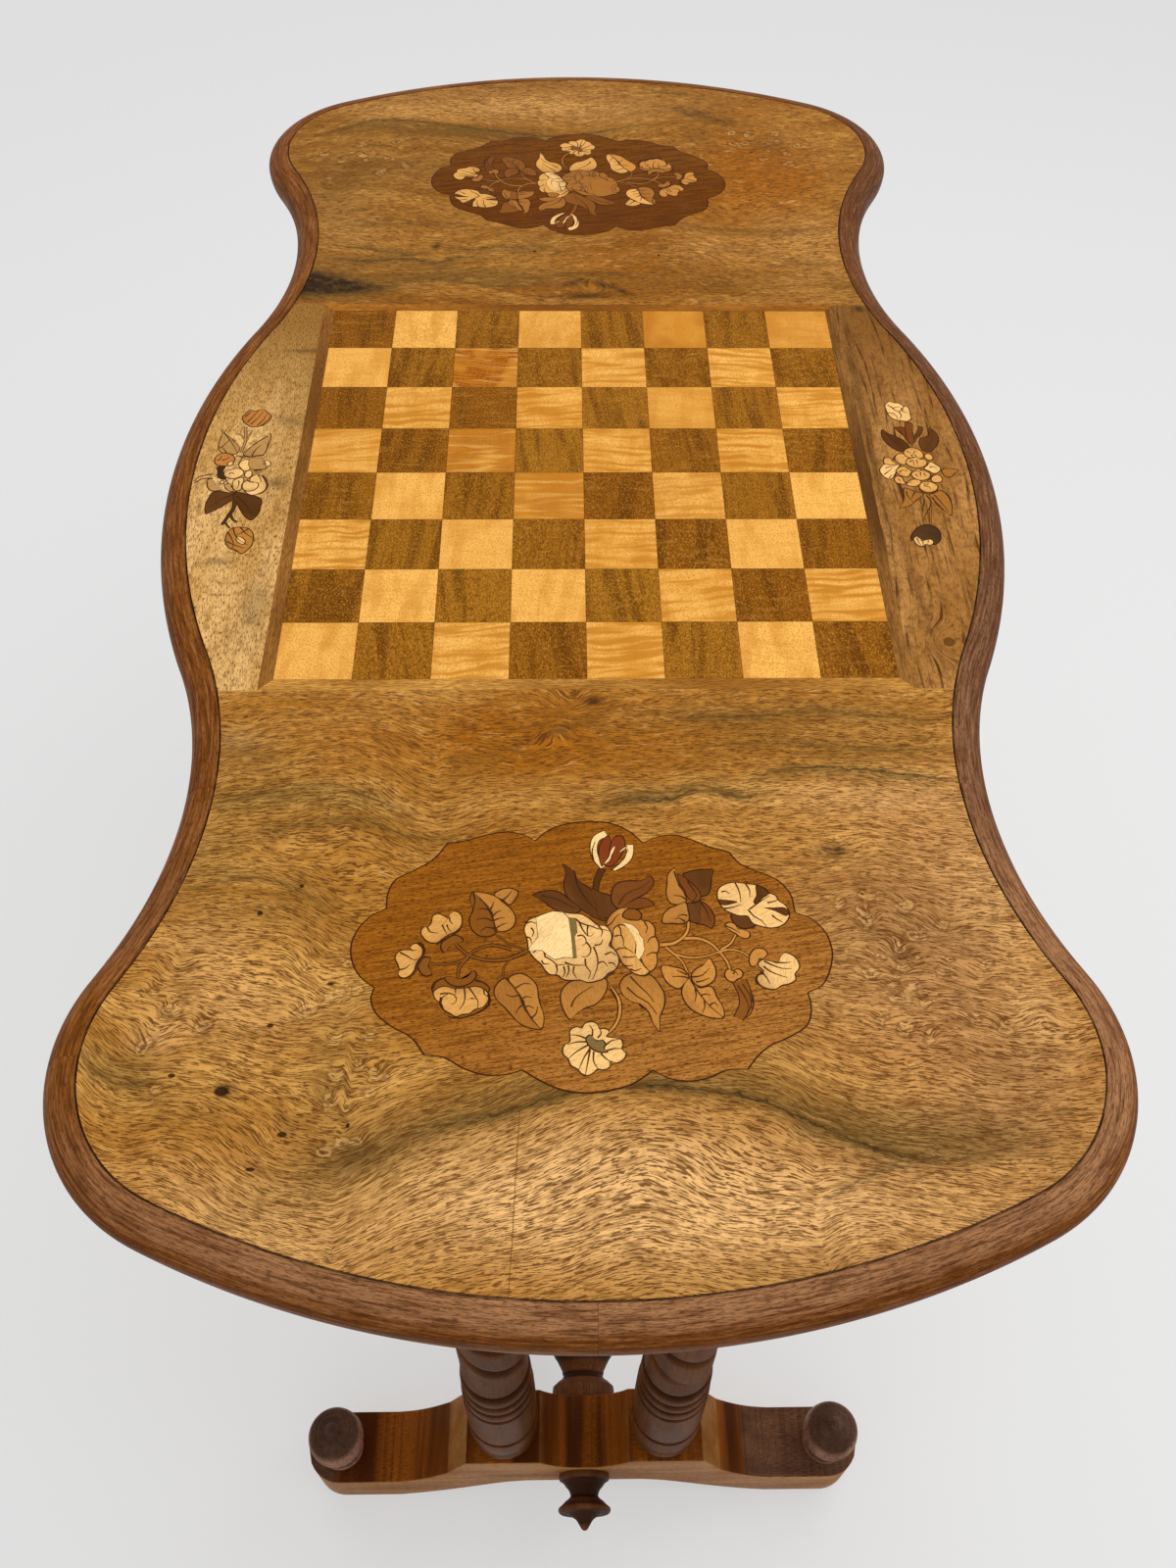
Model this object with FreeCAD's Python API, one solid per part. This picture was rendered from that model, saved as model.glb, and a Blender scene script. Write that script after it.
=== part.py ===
import FreeCAD, Part
import math
import os
from FreeCAD import Vector

# Games table. A waisted top with an inlaid chessboard stands on two shaped feet, each with a pair
# of twisted columns, joined by a turned stretcher. Millimetres: X is the width, Y the length and
# Z is up. The origin is on the floor under the middle of the top. Near is -Y and left is -X.

# Top: an outline of tangent arcs, alike in all four quarters
table_height = 712.0
top_half_length = 522.6
top_half_width = 250.7
end_radius = 448.4
bulge_radius = 75.8
bulge_centre_x = 162.2
waist_radius = 252.9
belly_radius = 394.4
core_thickness = 23.8
core_boards = 4
saw_spare = 10.0

# Thumb moulding round the edge
moulding_width = 18.0
moulding_foot = 15.0
nose_drop = 12.2
round_pull = 0.5523

# Veneers and chessboard
veneer_thickness = 1.2
square = 44.5
squares_per_side = 8
border_width = 8.0
inlay_proud = 0.2
stem_width = 2.6
petal_width = 11.0
spray_drawn_x = 218.35
spray_drawn_width = 64.7

# Bearers under the top and their screws
bearer_half_length = 175.0
bearer_width = 60.0
bearer_thickness = 28.0
bearer_end_slope = 12.0
screw_inner_x = 25.0
screw_outer_x = 140.0
screw_length = 42.0
screw_radius = 2.2
screw_head_radius = 4.6
screw_head_height = 3.0
screw_slot = 1.0

# Feet
end_overhang = 77.6
foot_thickness = 54.0
foot_half_length = 228.0
arm_height = 54.0
arm_start = 155.0
seat_height = 122.0
seat_outer = 93.0
scoop_half_width = 35.5
scoop_depth = 21.0
facet_run = 17.0
facet_drop = 36.0
arch_height = 52.0
arch_flat = 47.0

# Columns
column_spacing = 126.0
base_ring_radius = 27.1
base_ring_height = 66.0
drum_radius = 25.6
drum_height = 67.0
neck_radius = 21.5
neck_end = 218.0
head_height = 97.0
twist_radius = 21.2
twist_depth = 3.6
twist_lead = 72.0
twist_starts = 2
twist_run_in = 26.0
twist_root = 8.0
ring_step = 1.0

# Pins and tenons
peg_radius = 12.0
peg_length = 34.0
tenon_length = 24.0
knob_pin_radius = 8.0
knob_pin_length = 30.0
stretcher_pin_radius = 11.0
stretcher_pin_length = 24.0
finial_pin_radius = 8.0
finial_pin_length = 22.0
glue_gap = 0.1
hole_bottom_gap = 1.0

# Knobs, stretcher and finials
knob_radius = 21.7
knob_height = 68.0
stretcher_height = 75.0
stretcher_collar_radius = 25.3
stretcher_body_radius = 26.0
finial_collar_radius = 20.0
finial_ring_radius = 21.0

# Cartouche: each row is a cusp, measured from the cartouche's middle, and the rise of the lobe
# from it to the next cusp
cartouche_lobes = [
    (-74.2, 63.7, 6.0), (-28.8, 64.7, 12.5), (27.5, 63.3, 7.0), (72.0, 56.7, 5.5),
    (102.2, 20.8, 15.5), (103.7, -25.0, 10.9), (70.8, -64.7, 5.5), (27.5, -65.8, 11.0),
    (-32.8, -65.0, 6.0), (-80.0, -56.7, 5.5), (-105.3, -20.8, 14.5), (-103.0, 23.3, 7.5),
]

# Bouquet, measured from the cartouche's middle.
# Flower: middle x and y, half width, half height
bouquet_flowers = [
    (-10.0, 1.7, 23.3, 20.4), (20.0, 4.2, 13.3, 20.0), (0.0, -54.2, 14.2, 14.2),
    (11.3, 57.5, 11.2, 11.5), (-74.2, 12.5, 10.0, 9.2), (-89.2, -6.3, 7.5, 9.8),
    (-63.3, -25.8, 14.2, 10.8), (80.8, 24.7, 18.0, 13.8), (90.8, -13.0, 11.7, 10.4),
    (70.8, -28.0, 5.5, 11.2),
]
# Leaf: foot x and y, tip x and y, width
bouquet_leaves = [
    (0.8, 23.3, -14.2, 49.7, 15.0), (1.7, 18.3, -29.2, 31.3, 14.0), (8.3, 27.5, 31.7, 41.7, 13.0),
    (10.0, 20.8, 31.7, 26.7, 9.0), (5.0, -17.2, -11.7, -38.0, 14.0), (16.7, -14.0, 30.8, -45.0, 14.0),
    (-48.3, 7.5, -60.8, 33.3, 18.0), (-46.0, 9.0, -40.0, 35.0, 13.0), (-44.2, -8.3, -24.2, -43.3, 19.0),
    (-58.0, -3.0, -40.8, -2.0, 6.0), (46.7, 15.0, 42.5, 46.3, 12.0), (52.5, 31.0, 62.5, 45.3, 12.0),
    (50.0, 28.3, 60.0, 10.8, 12.0), (46.7, -23.3, 33.3, -10.3, 10.0), (47.5, -21.7, 59.2, -8.3, 10.0),
    (43.3, -23.0, 61.7, -38.3, 14.0),
]
# Stem: start, middle and end
bouquet_stems = [
    (6.7, 48.0, 3.3, 35.0, 4.2, 20.0), (10.0, -15.0, 13.7, -31.7, 4.2, -47.0),
    (-28.0, -0.8, -48.3, -8.0, -66.0, 6.0), (-82.0, -9.0, -70.0, -9.8, -55.0, -7.4),
    (-62.0, -6.0, -65.5, -11.0, -65.0, -19.0), (30.0, 1.0, 47.0, 6.2, 62.0, 0.0),
    (48.0, 6.2, 49.0, 11.0, 47.2, 16.0), (30.0, -1.0, 47.0, -7.0, 82.0, -7.5),
    (61.5, -2.0, 67.0, -8.0, 69.0, -20.0), (62.0, -1.0, 69.5, 4.0, 73.0, 16.0),
]

# Sprays in the side veneers, drawn round the middle of a side veneer of the drawn width
left_flowers = [
    (-217.2, 55.6, 11.0, 10.0), (-216.1, -2.2, 15.5, 17.0), (-233.3, 12.8, 6.7, 6.7),
    (-236.0, -12.0, 5.5, 5.5), (-213.3, -62.2, 8.9, 11.7),
]
left_leaves = [
    (-224.4, 15.0, -238.0, 43.3, 12.0), (-221.0, 15.0, -206.7, 36.7, 12.0),
    (-223.3, -14.0, -237.0, -38.9, 13.0), (-219.6, -14.0, -208.3, -45.6, 15.0),
]
left_stems = [(-221.5, 47.0, -222.6, 36.7, -222.0, 12.0), (-221.7, -15.0, -222.2, -41.1, -217.4, -53.0)]
right_flowers = [
    (213.9, 62.2, 8.3, 10.8), (217.2, 17.8, 10.0, 7.5), (198.3, 2.8, 6.7, 11.0),
    (222.0, -13.3, 7.0, 7.0), (216.7, 0.0, 13.0, 12.0), (206.7, -7.8, 6.0, 5.0),
    (229.0, 4.6, 6.5, 7.0), (206.5, 13.3, 6.0, 7.0), (213.3, -60.4, 9.0, 10.0),
]
right_leaves = [
    (215.6, 18.0, 200.6, 43.3, 13.0), (217.8, 18.0, 215.6, 46.6, 7.0), (218.9, 18.0, 226.1, 47.2, 6.0),
    (223.3, 15.0, 233.3, 45.0, 13.0), (230.0, 1.1, 243.6, 1.7, 8.0), (219.0, -14.0, 200.0, -34.4, 12.0),
    (223.3, -15.0, 231.7, -42.2, 13.0),
]
right_stems = [(219.9, -15.0, 220.0, -34.4, 215.2, -54.0)]

# Values that follow from the sizes above
top_thickness = core_thickness + veneer_thickness
core_top = table_height - veneer_thickness
core_bottom = table_height - top_thickness
board_half = square * squares_per_side / 2
board_edge = board_half + border_width
cartouche_y = (board_edge + top_half_length) / 2
foot_y = top_half_length - end_overhang
column_x = column_spacing / 2
column_top = core_bottom - bearer_thickness
knob_x = foot_half_length - foot_thickness / 2
up = Vector(0, 0, 1)


def line(start, end):
    """Straight edge."""
    return Part.makeLine(start, end)


def bow(start, end, rise):
    """Arc edge that stands the rise to the left of its chord, or a straight edge without one."""
    if rise == 0:
        return line(start, end)
    chord = end - start
    aside = up.cross(chord).normalize() * rise
    return Part.Arc(start, (start + end) * 0.5 + aside, end).toShape()


def prism(face, bottom, top):
    """Solid over a flat face that was drawn at height zero."""
    raised = face.extrude(Vector(0, 0, top - bottom))
    raised.translate(Vector(0, 0, bottom))
    return raised


def rod(radius, bottom, top, x=0.0, y=0.0):
    """Upright round rod."""
    return Part.makeCylinder(radius, top - bottom, Vector(x, y, bottom))


def mirrored(shape, flip_x, flip_y):
    """The shape, turned over across the table's middle planes as asked."""
    if flip_x:
        shape = shape.mirror(Vector(), Vector(1, 0, 0))
    if flip_y:
        shape = shape.mirror(Vector(), Vector(0, 1, 0))
    return shape


def bearing(start, end):
    """Direction from one point to another in plan, in radians."""
    return math.atan2(end.y - start.y, end.x - start.x)


def outer_crossing(centre_a, radius_a, centre_b, radius_b):
    """Crossing of two circles, the one on the right of the line from a to b."""
    gap = centre_b - centre_a
    distance = gap.Length
    along = (distance**2 + radius_a**2 - radius_b**2) / (2 * distance)
    aside = math.sqrt(radius_a**2 - along**2)
    direction = gap * (1 / distance)
    return centre_a + direction * along + up.cross(direction) * aside


def quarter_arcs():
    """Arcs from the middle of the far end to the right belly: centre, radius, start, stop, side."""
    end_centre = Vector(0, top_half_length - end_radius, 0)
    bulge_rise = math.sqrt((end_radius - bulge_radius) ** 2 - bulge_centre_x**2)
    bulge_centre = Vector(bulge_centre_x, end_centre.y + bulge_rise, 0)
    belly_centre = Vector(top_half_width - belly_radius, 0, 0)
    waist_centre = outer_crossing(bulge_centre, bulge_radius + waist_radius,
                                  belly_centre, belly_radius + waist_radius)
    to_bulge = bearing(end_centre, bulge_centre)
    to_waist = bearing(bulge_centre, waist_centre)
    from_belly = bearing(belly_centre, waist_centre)
    return {
        "end": (end_centre, end_radius, math.pi / 2, to_bulge, 1),
        "bulge": (bulge_centre, bulge_radius, to_bulge, to_waist, 1),
        "waist": (waist_centre, waist_radius, to_waist + math.pi, from_belly + math.pi, -1),
        "belly": (belly_centre, belly_radius, from_belly, 0.0, 1),
    }


def on_arc(arc, angle, out=0.0, height=0.0):
    """Point at an angle on an arc of the outline, moved outwards and up."""
    centre, radius, start, stop, side = arc
    reach = radius + side * out
    return centre + Vector(reach * math.cos(angle), reach * math.sin(angle), height)


def top_outline():
    """Face of the top's whole outline at height zero."""
    edges = []
    for arc in quarter_arcs().values():
        start, stop = arc[2], arc[3]
        points = [on_arc(arc, angle) for angle in (start, (start + stop) / 2, stop)]
        edge = Part.Arc(*points).toShape()
        edges += [mirrored(edge, fx, fy) for fx in (False, True) for fy in (False, True)]
    return Part.Face(Part.Wire(Part.__sortEdges__(edges)))


def core_board(outline, index):
    """One of the boards that are glued edge to edge as groundwork."""
    width = 2 * top_half_width / core_boards
    low = -top_half_width + index * width
    high = low + width
    if index == 0:
        low -= saw_spare
    if index == core_boards - 1:
        high += saw_spare
    length = 2 * (top_half_length + saw_spare)
    strip = Part.makeBox(high - low, length, core_thickness, Vector(low, -length / 2, core_bottom))
    return prism(outline, core_bottom, core_top).common(strip)


def moulding_section(arc, angle):
    """Thumb section standing square to the outline: a quarter round over a hollow return."""
    def at(out, drop):
        return on_arc(arc, angle, out, table_height - drop)
    over = Part.BezierCurve()
    over.setPoles([at(0, 0), at(round_pull * moulding_width, 0),
                   at(moulding_width, (1 - round_pull) * nose_drop), at(moulding_width, nose_drop)])
    under = Part.BezierCurve()
    under.setPoles([at(moulding_width, nose_drop),
                    at(moulding_width, nose_drop + round_pull * (top_thickness - nose_drop)),
                    at(moulding_foot, top_thickness)])
    edges = [over.toShape(), under.toShape(),
             line(at(moulding_foot, top_thickness), at(0, top_thickness)),
             line(at(0, top_thickness), at(0, 0))]
    return Part.Face(Part.Wire(edges))


def moulding_run(arc, start, stop):
    """Length of moulding bent along part of one arc."""
    low, high = min(start, stop), max(start, stop)
    return moulding_section(arc, low).revolve(arc[0], up, math.degrees(high - low))


def joined(pieces):
    """One solid from pieces that meet face to face."""
    return pieces[0].multiFuse(pieces[1:]).removeSplitter().Solids[0]


def mouldings():
    """The ten lengths, jointed at the ends' middles, the widest bulges and the waists."""
    arcs = quarter_arcs()
    end, bulge, waist, belly = (arcs[key] for key in ("end", "bulge", "waist", "belly"))
    end_run = joined([moulding_run(end, end[2], end[3]), moulding_run(bulge, bulge[2], 0.0)])
    shoulder = joined([moulding_run(bulge, 0.0, bulge[3]), moulding_run(waist, waist[2], math.pi)])
    half_belly = [moulding_run(waist, math.pi, waist[3]), moulding_run(belly, belly[2], belly[3])]
    whole_belly = joined(half_belly + [mirrored(piece, False, True) for piece in half_belly])
    nodes = {}
    for side, flip_x in (("left", True), ("right", False)):
        nodes["moulding_belly_" + side] = mirrored(whole_belly, flip_x, False)
        for end_name, flip_y in (("near", True), ("far", False)):
            name = end_name + "_" + side
            nodes["moulding_end_" + name] = mirrored(end_run, flip_x, flip_y)
            nodes["moulding_shoulder_" + name] = mirrored(shoulder, flip_x, flip_y)
    return nodes


def rectangle(low_x, low_y, high_x, high_y):
    """Flat rectangle at height zero."""
    return Part.makePlane(high_x - low_x, high_y - low_y, Vector(low_x, low_y, 0))


def chessboard():
    """Light and dark squares. The near left square is light."""
    fields = {"light_squares": [], "dark_squares": []}
    names = list(fields)
    for row in range(squares_per_side):
        for column in range(squares_per_side):
            x = -board_half + column * square
            y = -board_half + row * square
            field = prism(rectangle(x, y, x + square, y + square), core_top, table_height)
            fields[names[(row + column) % 2]].append(field)
    return {name: Part.makeCompound(solids) for name, solids in fields.items()}


def border_strips():
    """Four mitred strips round the squares."""
    inner, outer = board_half, board_edge
    corners = [Vector(-outer, -outer, 0), Vector(outer, -outer, 0),
               Vector(inner, -inner, 0), Vector(-inner, -inner, 0)]
    strip = prism(Part.Face(Part.makePolygon(corners + corners[:1])), core_top, table_height)
    nodes = {}
    for turn, name in enumerate(("near", "right", "far", "left")):
        turned_strip = strip.copy()
        turned_strip.rotate(Vector(), up, 90 * turn)
        nodes["border_" + name] = turned_strip
    return nodes


def cartouche_face():
    """Lobed outline of the cartouche, drawn round the origin."""
    cusps = [Vector(x, y, 0) for x, y, rise in cartouche_lobes]
    edges = []
    for index, (x, y, rise) in enumerate(cartouche_lobes):
        edges.append(bow(cusps[index], cusps[(index + 1) % len(cusps)], rise))
    return Part.Face(Part.Wire(edges))


def flower(x, y, half_width, half_height):
    """Scalloped flower: bowed petals between points spaced round an oval."""
    petals = max(4, round(math.pi * (half_width + half_height) / petal_width))
    rise = 0.55 * min(half_width, half_height) / petals
    points = []
    for petal in range(petals):
        angle = -2 * math.pi * petal / petals
        points.append(Vector(x + (half_width - rise) * math.cos(angle),
                             y + (half_height - rise) * math.sin(angle), 0))
    edges = [bow(points[index - 1], points[index], 2 * rise) for index in range(petals)]
    return Part.Face(Part.Wire(edges))


def leaf(foot_x, foot_y, tip_x, tip_y, width):
    """Leaf between two equal arcs."""
    foot, tip = Vector(foot_x, foot_y, 0), Vector(tip_x, tip_y, 0)
    return Part.Face(Part.Wire([bow(foot, tip, width / 2), bow(tip, foot, width / 2)]))


def stem(x1, y1, x2, y2, x3, y3):
    """Curved strip of even width round the circle through three points."""
    points = [Vector(x1, y1, 0), Vector(x2, y2, 0), Vector(x3, y3, 0)]
    centre = Part.Arc(*points).toShape().Curve.Center
    sides = []
    for half in (-stem_width / 2, stem_width / 2):
        sides.append([point + (point - centre).normalize() * half for point in points])
    inner, outer = sides
    edges = [Part.Arc(*inner).toShape(), line(inner[2], outer[2]),
             Part.Arc(outer[2], outer[1], outer[0]).toShape(), line(outer[0], inner[0])]
    return Part.Face(Part.Wire(edges))


def marquetry(flowers, leaves, stems):
    """Faces of a picture in wood: flowers lie over leaves, and leaves over stems."""
    laid = []
    shapes = [flower(*row) for row in flowers] + [leaf(*row) for row in leaves]
    for shape in shapes + [stem(*row) for row in stems]:
        above = [other for other in laid if other.BoundBox.intersect(shape.BoundBox)]
        if above:
            shape = shape.cut(above)
        laid += shape.Faces
    return laid


def inlaid(ground, picture):
    """The ground with the picture's places sawn out, and the picture let into them."""
    sawn = ground.cut(picture)
    solids = [prism(face, core_top, table_height) for face in sawn.Faces]
    pieces = [prism(face, core_top, table_height + inlay_proud) for face in picture]
    return Part.makeCompound(solids) if len(solids) > 1 else solids[0], Part.makeCompound(pieces)


def end_panels(outline):
    """Veneers of the two ends with their cartouches and bouquets."""
    place = Vector(0, -cartouche_y, 0)
    hole = cartouche_face()
    hole.translate(place)
    beyond = rectangle(-2 * top_half_width, -2 * top_half_length, 2 * top_half_width, -board_edge)
    picture = marquetry(bouquet_flowers, bouquet_leaves, bouquet_stems)
    for face in picture:
        face.translate(place)
    ground, bouquet = inlaid(hole, picture)
    near = {
        "veneer": prism(outline.common(beyond).cut(hole), core_top, table_height),
        "cartouche": ground,
        "bouquet": bouquet,
    }
    nodes = {}
    for name, shape in near.items():
        nodes[name + "_near"] = shape
        far = shape.copy()
        far.rotate(Vector(), up, 180)
        nodes[name + "_far"] = far
    return nodes


def side_panels(outline):
    """Veneers of the two sides with their sprays, which are as large as the veneers leave room."""
    share = (top_half_width - board_edge) / spray_drawn_width
    middle_x = (top_half_width + board_edge) / 2
    sprays = {
        "left": (-1, marquetry(left_flowers, left_leaves, left_stems)),
        "right": (1, marquetry(right_flowers, right_leaves, right_stems)),
    }
    nodes = {}
    for name, (side, drawing) in sprays.items():
        drawn_middle = Vector(side * spray_drawn_x, 0, 0)
        shift = Vector(side * (middle_x - spray_drawn_x), 0, 0)
        picture = [face.scaled(share, drawn_middle).translated(shift) for face in drawing]
        inner, outer = sorted((side * board_edge, side * 2 * top_half_width))
        panel = outline.common(rectangle(inner, -board_edge, outer, board_edge))
        nodes["veneer_" + name], nodes["spray_" + name] = inlaid(panel, picture)
    return nodes


def screw(x, y):
    """Countersunk wood screw, head down, flush with the bearer's underside."""
    shank = rod(screw_radius, column_top, column_top + screw_length, x, y)
    head = Part.makeCone(screw_head_radius, screw_radius, screw_head_height, Vector(x, y, column_top))
    return shank.fuse(head).removeSplitter()


def slotted(body, x, y):
    """The screw with a driver slot across its head."""
    slot_corner = Vector(x - screw_head_radius, y - screw_slot / 2, column_top - screw_slot)
    return body.cut(Part.makeBox(2 * screw_head_radius, screw_slot, 2 * screw_slot, slot_corner))


def screw_places(end):
    """Plan positions of one bearer's screws."""
    return [(side * x, end * foot_y) for x in (screw_inner_x, screw_outer_x) for side in (-1, 1)]


def bearer(end):
    """Cross bearer with sloped ends, bored for its screws and the columns' tenons."""
    low, high = column_top, core_bottom
    reach = bearer_half_length - bearer_end_slope
    corners = [Vector(-reach, 0, low), Vector(reach, 0, low), Vector(bearer_half_length, 0, high),
               Vector(-bearer_half_length, 0, high)]
    bar = Part.Face(Part.makePolygon(corners + corners[:1])).extrude(Vector(0, bearer_width, 0))
    bar.translate(Vector(0, end * foot_y - bearer_width / 2, 0))
    bores = [screw(x, y) for x, y in screw_places(end)]
    for side in (-1, 1):
        bores.append(rod(peg_radius + glue_gap, low, low + tenon_length + hole_bottom_gap,
                         side * column_x, end * foot_y))
    return bar.cut(bores)


def swell(start, end, rise):
    """Parabola edge with the rise to the left of its chord, or a straight edge without one."""
    if rise == 0:
        return line(start, end)
    aside = up.cross(end - start).normalize() * rise
    curve = Part.BezierCurve()
    curve.setPoles([start, (start + end) * 0.5 + aside * 2, end])
    return curve.toShape()


def turned(rows, axis_start, axis_direction):
    """Solid turned on a lathe. Each row is a place along the axis, a radius there and the rise
    of the swelling from the row before."""
    points = [Vector(place, radius, 0) for place, radius, rise in rows]
    start, end = Vector(rows[0][0], 0, 0), Vector(rows[-1][0], 0, 0)
    edges = [line(start, points[0])]
    for index in range(1, len(rows)):
        edges.append(swell(points[index - 1], points[index], rows[index][2]))
    if points[-1] != end:
        edges.append(line(points[-1], end))
    edges.append(line(end, start))
    solid = Part.Face(Part.Wire(edges)).revolve(Vector(), Vector(1, 0, 0), 360)
    solid.Placement = FreeCAD.Placement(axis_start, FreeCAD.Rotation(Vector(1, 0, 0), axis_direction))
    return solid


def twist_section(height, depth, turn, samples=16):
    """Closed curve of the twist at one height: a circle with a hollow for each start."""
    points = []
    for sample in range(samples):
        angle = 2 * math.pi * sample / samples
        hollow = (1 + math.cos(twist_starts * (angle - turn))) / 2
        radius = twist_radius - depth * hollow
        points.append(Vector(radius * math.cos(angle), radius * math.sin(angle), height))
    curve = Part.BSplineCurve()
    curve.interpolate(points, True)
    start, stop = curve.FirstParameter, curve.LastParameter
    cuts = [start + (stop - start) * quarter / 4 for quarter in range(5)]
    return Part.Wire([curve.toShape(*span) for span in zip(cuts, cuts[1:])])


def twist(bottom, top, sections_per_lead=12):
    """Barley twist that falls to the right. Its round roots run into the necks at both ends."""
    count = round((top - bottom) / twist_lead * sections_per_lead)
    sections = []
    for index in range(count + 1):
        height = bottom + (top - bottom) * index / count
        past_root = min(height - bottom, top - height) - twist_root
        ease = max(0.0, min(1.0, past_root / twist_run_in))
        turn = -2 * math.pi * (height - bottom) / twist_lead
        sections.append(twist_section(height, twist_depth * ease, turn))
    return Part.makeLoft(sections, True)


def placed(shape, x, y):
    """Copy of a shape, moved in plan."""
    copy = shape.copy()
    copy.translate(Vector(x, y, 0))
    return copy


def column():
    """Column with stacked rings at its foot, a twist, rings at its head, a peg and a tenon."""
    drum_top = base_ring_height + ring_step + drum_height
    foot_rows = [
        (-peg_length, peg_radius, 0), (0, peg_radius, 0),
        (0, neck_radius + ring_step, 0), (22.0, neck_radius + 2 * ring_step, 2.2),
        (23.0, base_ring_radius - ring_step, 0), (24.0, base_ring_radius, 0),
        (base_ring_height, base_ring_radius, 0), (base_ring_height + ring_step, drum_radius, 0),
        (drum_top, drum_radius + ring_step / 2, -0.7),
        (drum_top + 21.0, drum_radius - ring_step, 1.6), (drum_top + 22.0, neck_radius + ring_step, 0),
        (drum_top + 23.0, drum_radius - 2 * ring_step, 0),
        (drum_top + 45.0, neck_radius + 2 * ring_step, 1.6),
        (drum_top + 46.0, drum_radius - ring_step, 0), (drum_top + 62.0, drum_radius - ring_step, 0),
        (drum_top + 69.0, neck_radius, -1.0), (neck_end, neck_radius, 0),
    ]
    top = column_top - seat_height
    head_rows = [
        (top - head_height, neck_radius, 0), (top - head_height + 10.0, neck_radius, 0),
        (top - 80.0, drum_radius - ring_step, -1.0), (top - 64.0, drum_radius - ring_step, 0),
        (top - 63.0, neck_radius + 2 * ring_step, 0), (top - 41.0, drum_radius - 2 * ring_step, 1.6),
        (top - 40.0, neck_radius + ring_step, 0), (top - 39.0, drum_radius - ring_step, 0),
        (top - 18.0, drum_radius - ring_step, 1.6), (top - 17.0, base_ring_radius, 0),
        (top, base_ring_radius, 0), (top, peg_radius, 0), (top + tenon_length, peg_radius, 0),
    ]
    place = Vector(0, 0, seat_height)
    shaft = twist(seat_height + neck_end - twist_root, column_top - head_height + twist_root)
    return turned(foot_rows, place, up).fuse([shaft, turned(head_rows, place, up)])


def foot_profile():
    """Face of the foot seen from its end: flat pads, arched underside, scooped and stepped top."""
    facet_x, facet_z = seat_outer + facet_run, seat_height - facet_drop
    sweep_span = arm_start - facet_x
    sweep_fall = facet_z - arm_height
    half = []
    arch_span = arm_start - arch_flat
    for share_x, share_z in ((0.86, 0.10), (0.68, 0.27), (0.53, 0.44), (0.33, 0.70), (0.17, 0.89)):
        half.append(Vector(arch_flat + share_x * arch_span, 0, share_z * arch_height))
    arch = Part.BSplineCurve()
    arch.interpolate([Vector(arm_start, 0, 0)] + half + [Vector(arch_flat, 0, arch_height)],
                     InitialTangent=Vector(-1, 0, 0.3), FinalTangent=Vector(-1, 0, 0))
    sweep = Part.BSplineCurve()
    sweep.interpolate([Vector(facet_x, 0, facet_z),
                       Vector(facet_x + 0.36 * sweep_span, 0, arm_height + 0.47 * sweep_fall),
                       Vector(facet_x + 0.71 * sweep_span, 0, arm_height + 0.13 * sweep_fall),
                       Vector(arm_start, 0, arm_height)],
                      InitialTangent=Vector(facet_run, 0, -facet_drop), FinalTangent=Vector(1, 0, 0))
    right = [
        line(Vector(0, 0, arch_height), Vector(arch_flat, 0, arch_height)),
        arch.toShape(),
        line(Vector(arm_start, 0, 0), Vector(foot_half_length, 0, 0)),
        line(Vector(foot_half_length, 0, 0), Vector(foot_half_length, 0, arm_height)),
        line(Vector(foot_half_length, 0, arm_height), Vector(arm_start, 0, arm_height)),
        sweep.toShape(),
        line(Vector(facet_x, 0, facet_z), Vector(seat_outer, 0, seat_height)),
        line(Vector(seat_outer, 0, seat_height), Vector(scoop_half_width, 0, seat_height)),
    ]
    scoop = Part.Arc(Vector(scoop_half_width, 0, seat_height), Vector(0, 0, seat_height - scoop_depth),
                     Vector(-scoop_half_width, 0, seat_height)).toShape()
    left = [mirrored(edge, True, False) for edge in right]
    return Part.Face(Part.Wire(Part.__sortEdges__(right + left + [scoop])))


def foot(end):
    """Shaped plank with round ends, bored for columns, knobs, stretcher and finial."""
    inner_y = foot_y - foot_thickness / 2
    outer_y = foot_y + foot_thickness / 2
    plank = foot_profile().extrude(Vector(0, foot_thickness, 0))
    plank.translate(Vector(0, inner_y, 0))
    straight = rectangle(-knob_x, inner_y, knob_x, outer_y)
    ends = [Part.Face(Part.Wire(Part.makeCircle(foot_thickness / 2, Vector(side * knob_x, foot_y, 0))))
            for side in (-1, 1)]
    plan = straight.fuse(ends).removeSplitter()
    shaped = plank.common(prism(plan, 0, seat_height))
    bores = []
    for side in (-1, 1):
        bores.append(rod(peg_radius + glue_gap, seat_height - peg_length - hole_bottom_gap,
                         seat_height, side * column_x, foot_y))
        bores.append(rod(knob_pin_radius + glue_gap, arm_height - knob_pin_length - hole_bottom_gap,
                         arm_height, side * knob_x, foot_y))
    bores.append(Part.makeCylinder(stretcher_pin_radius + glue_gap, stretcher_pin_length + hole_bottom_gap,
                                   Vector(0, inner_y, stretcher_height), Vector(0, 1, 0)))
    bores.append(Part.makeCylinder(finial_pin_radius + glue_gap, finial_pin_length + hole_bottom_gap,
                                   Vector(0, outer_y, stretcher_height), Vector(0, -1, 0)))
    return mirrored(shaped.cut(bores), False, end < 0)


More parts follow.
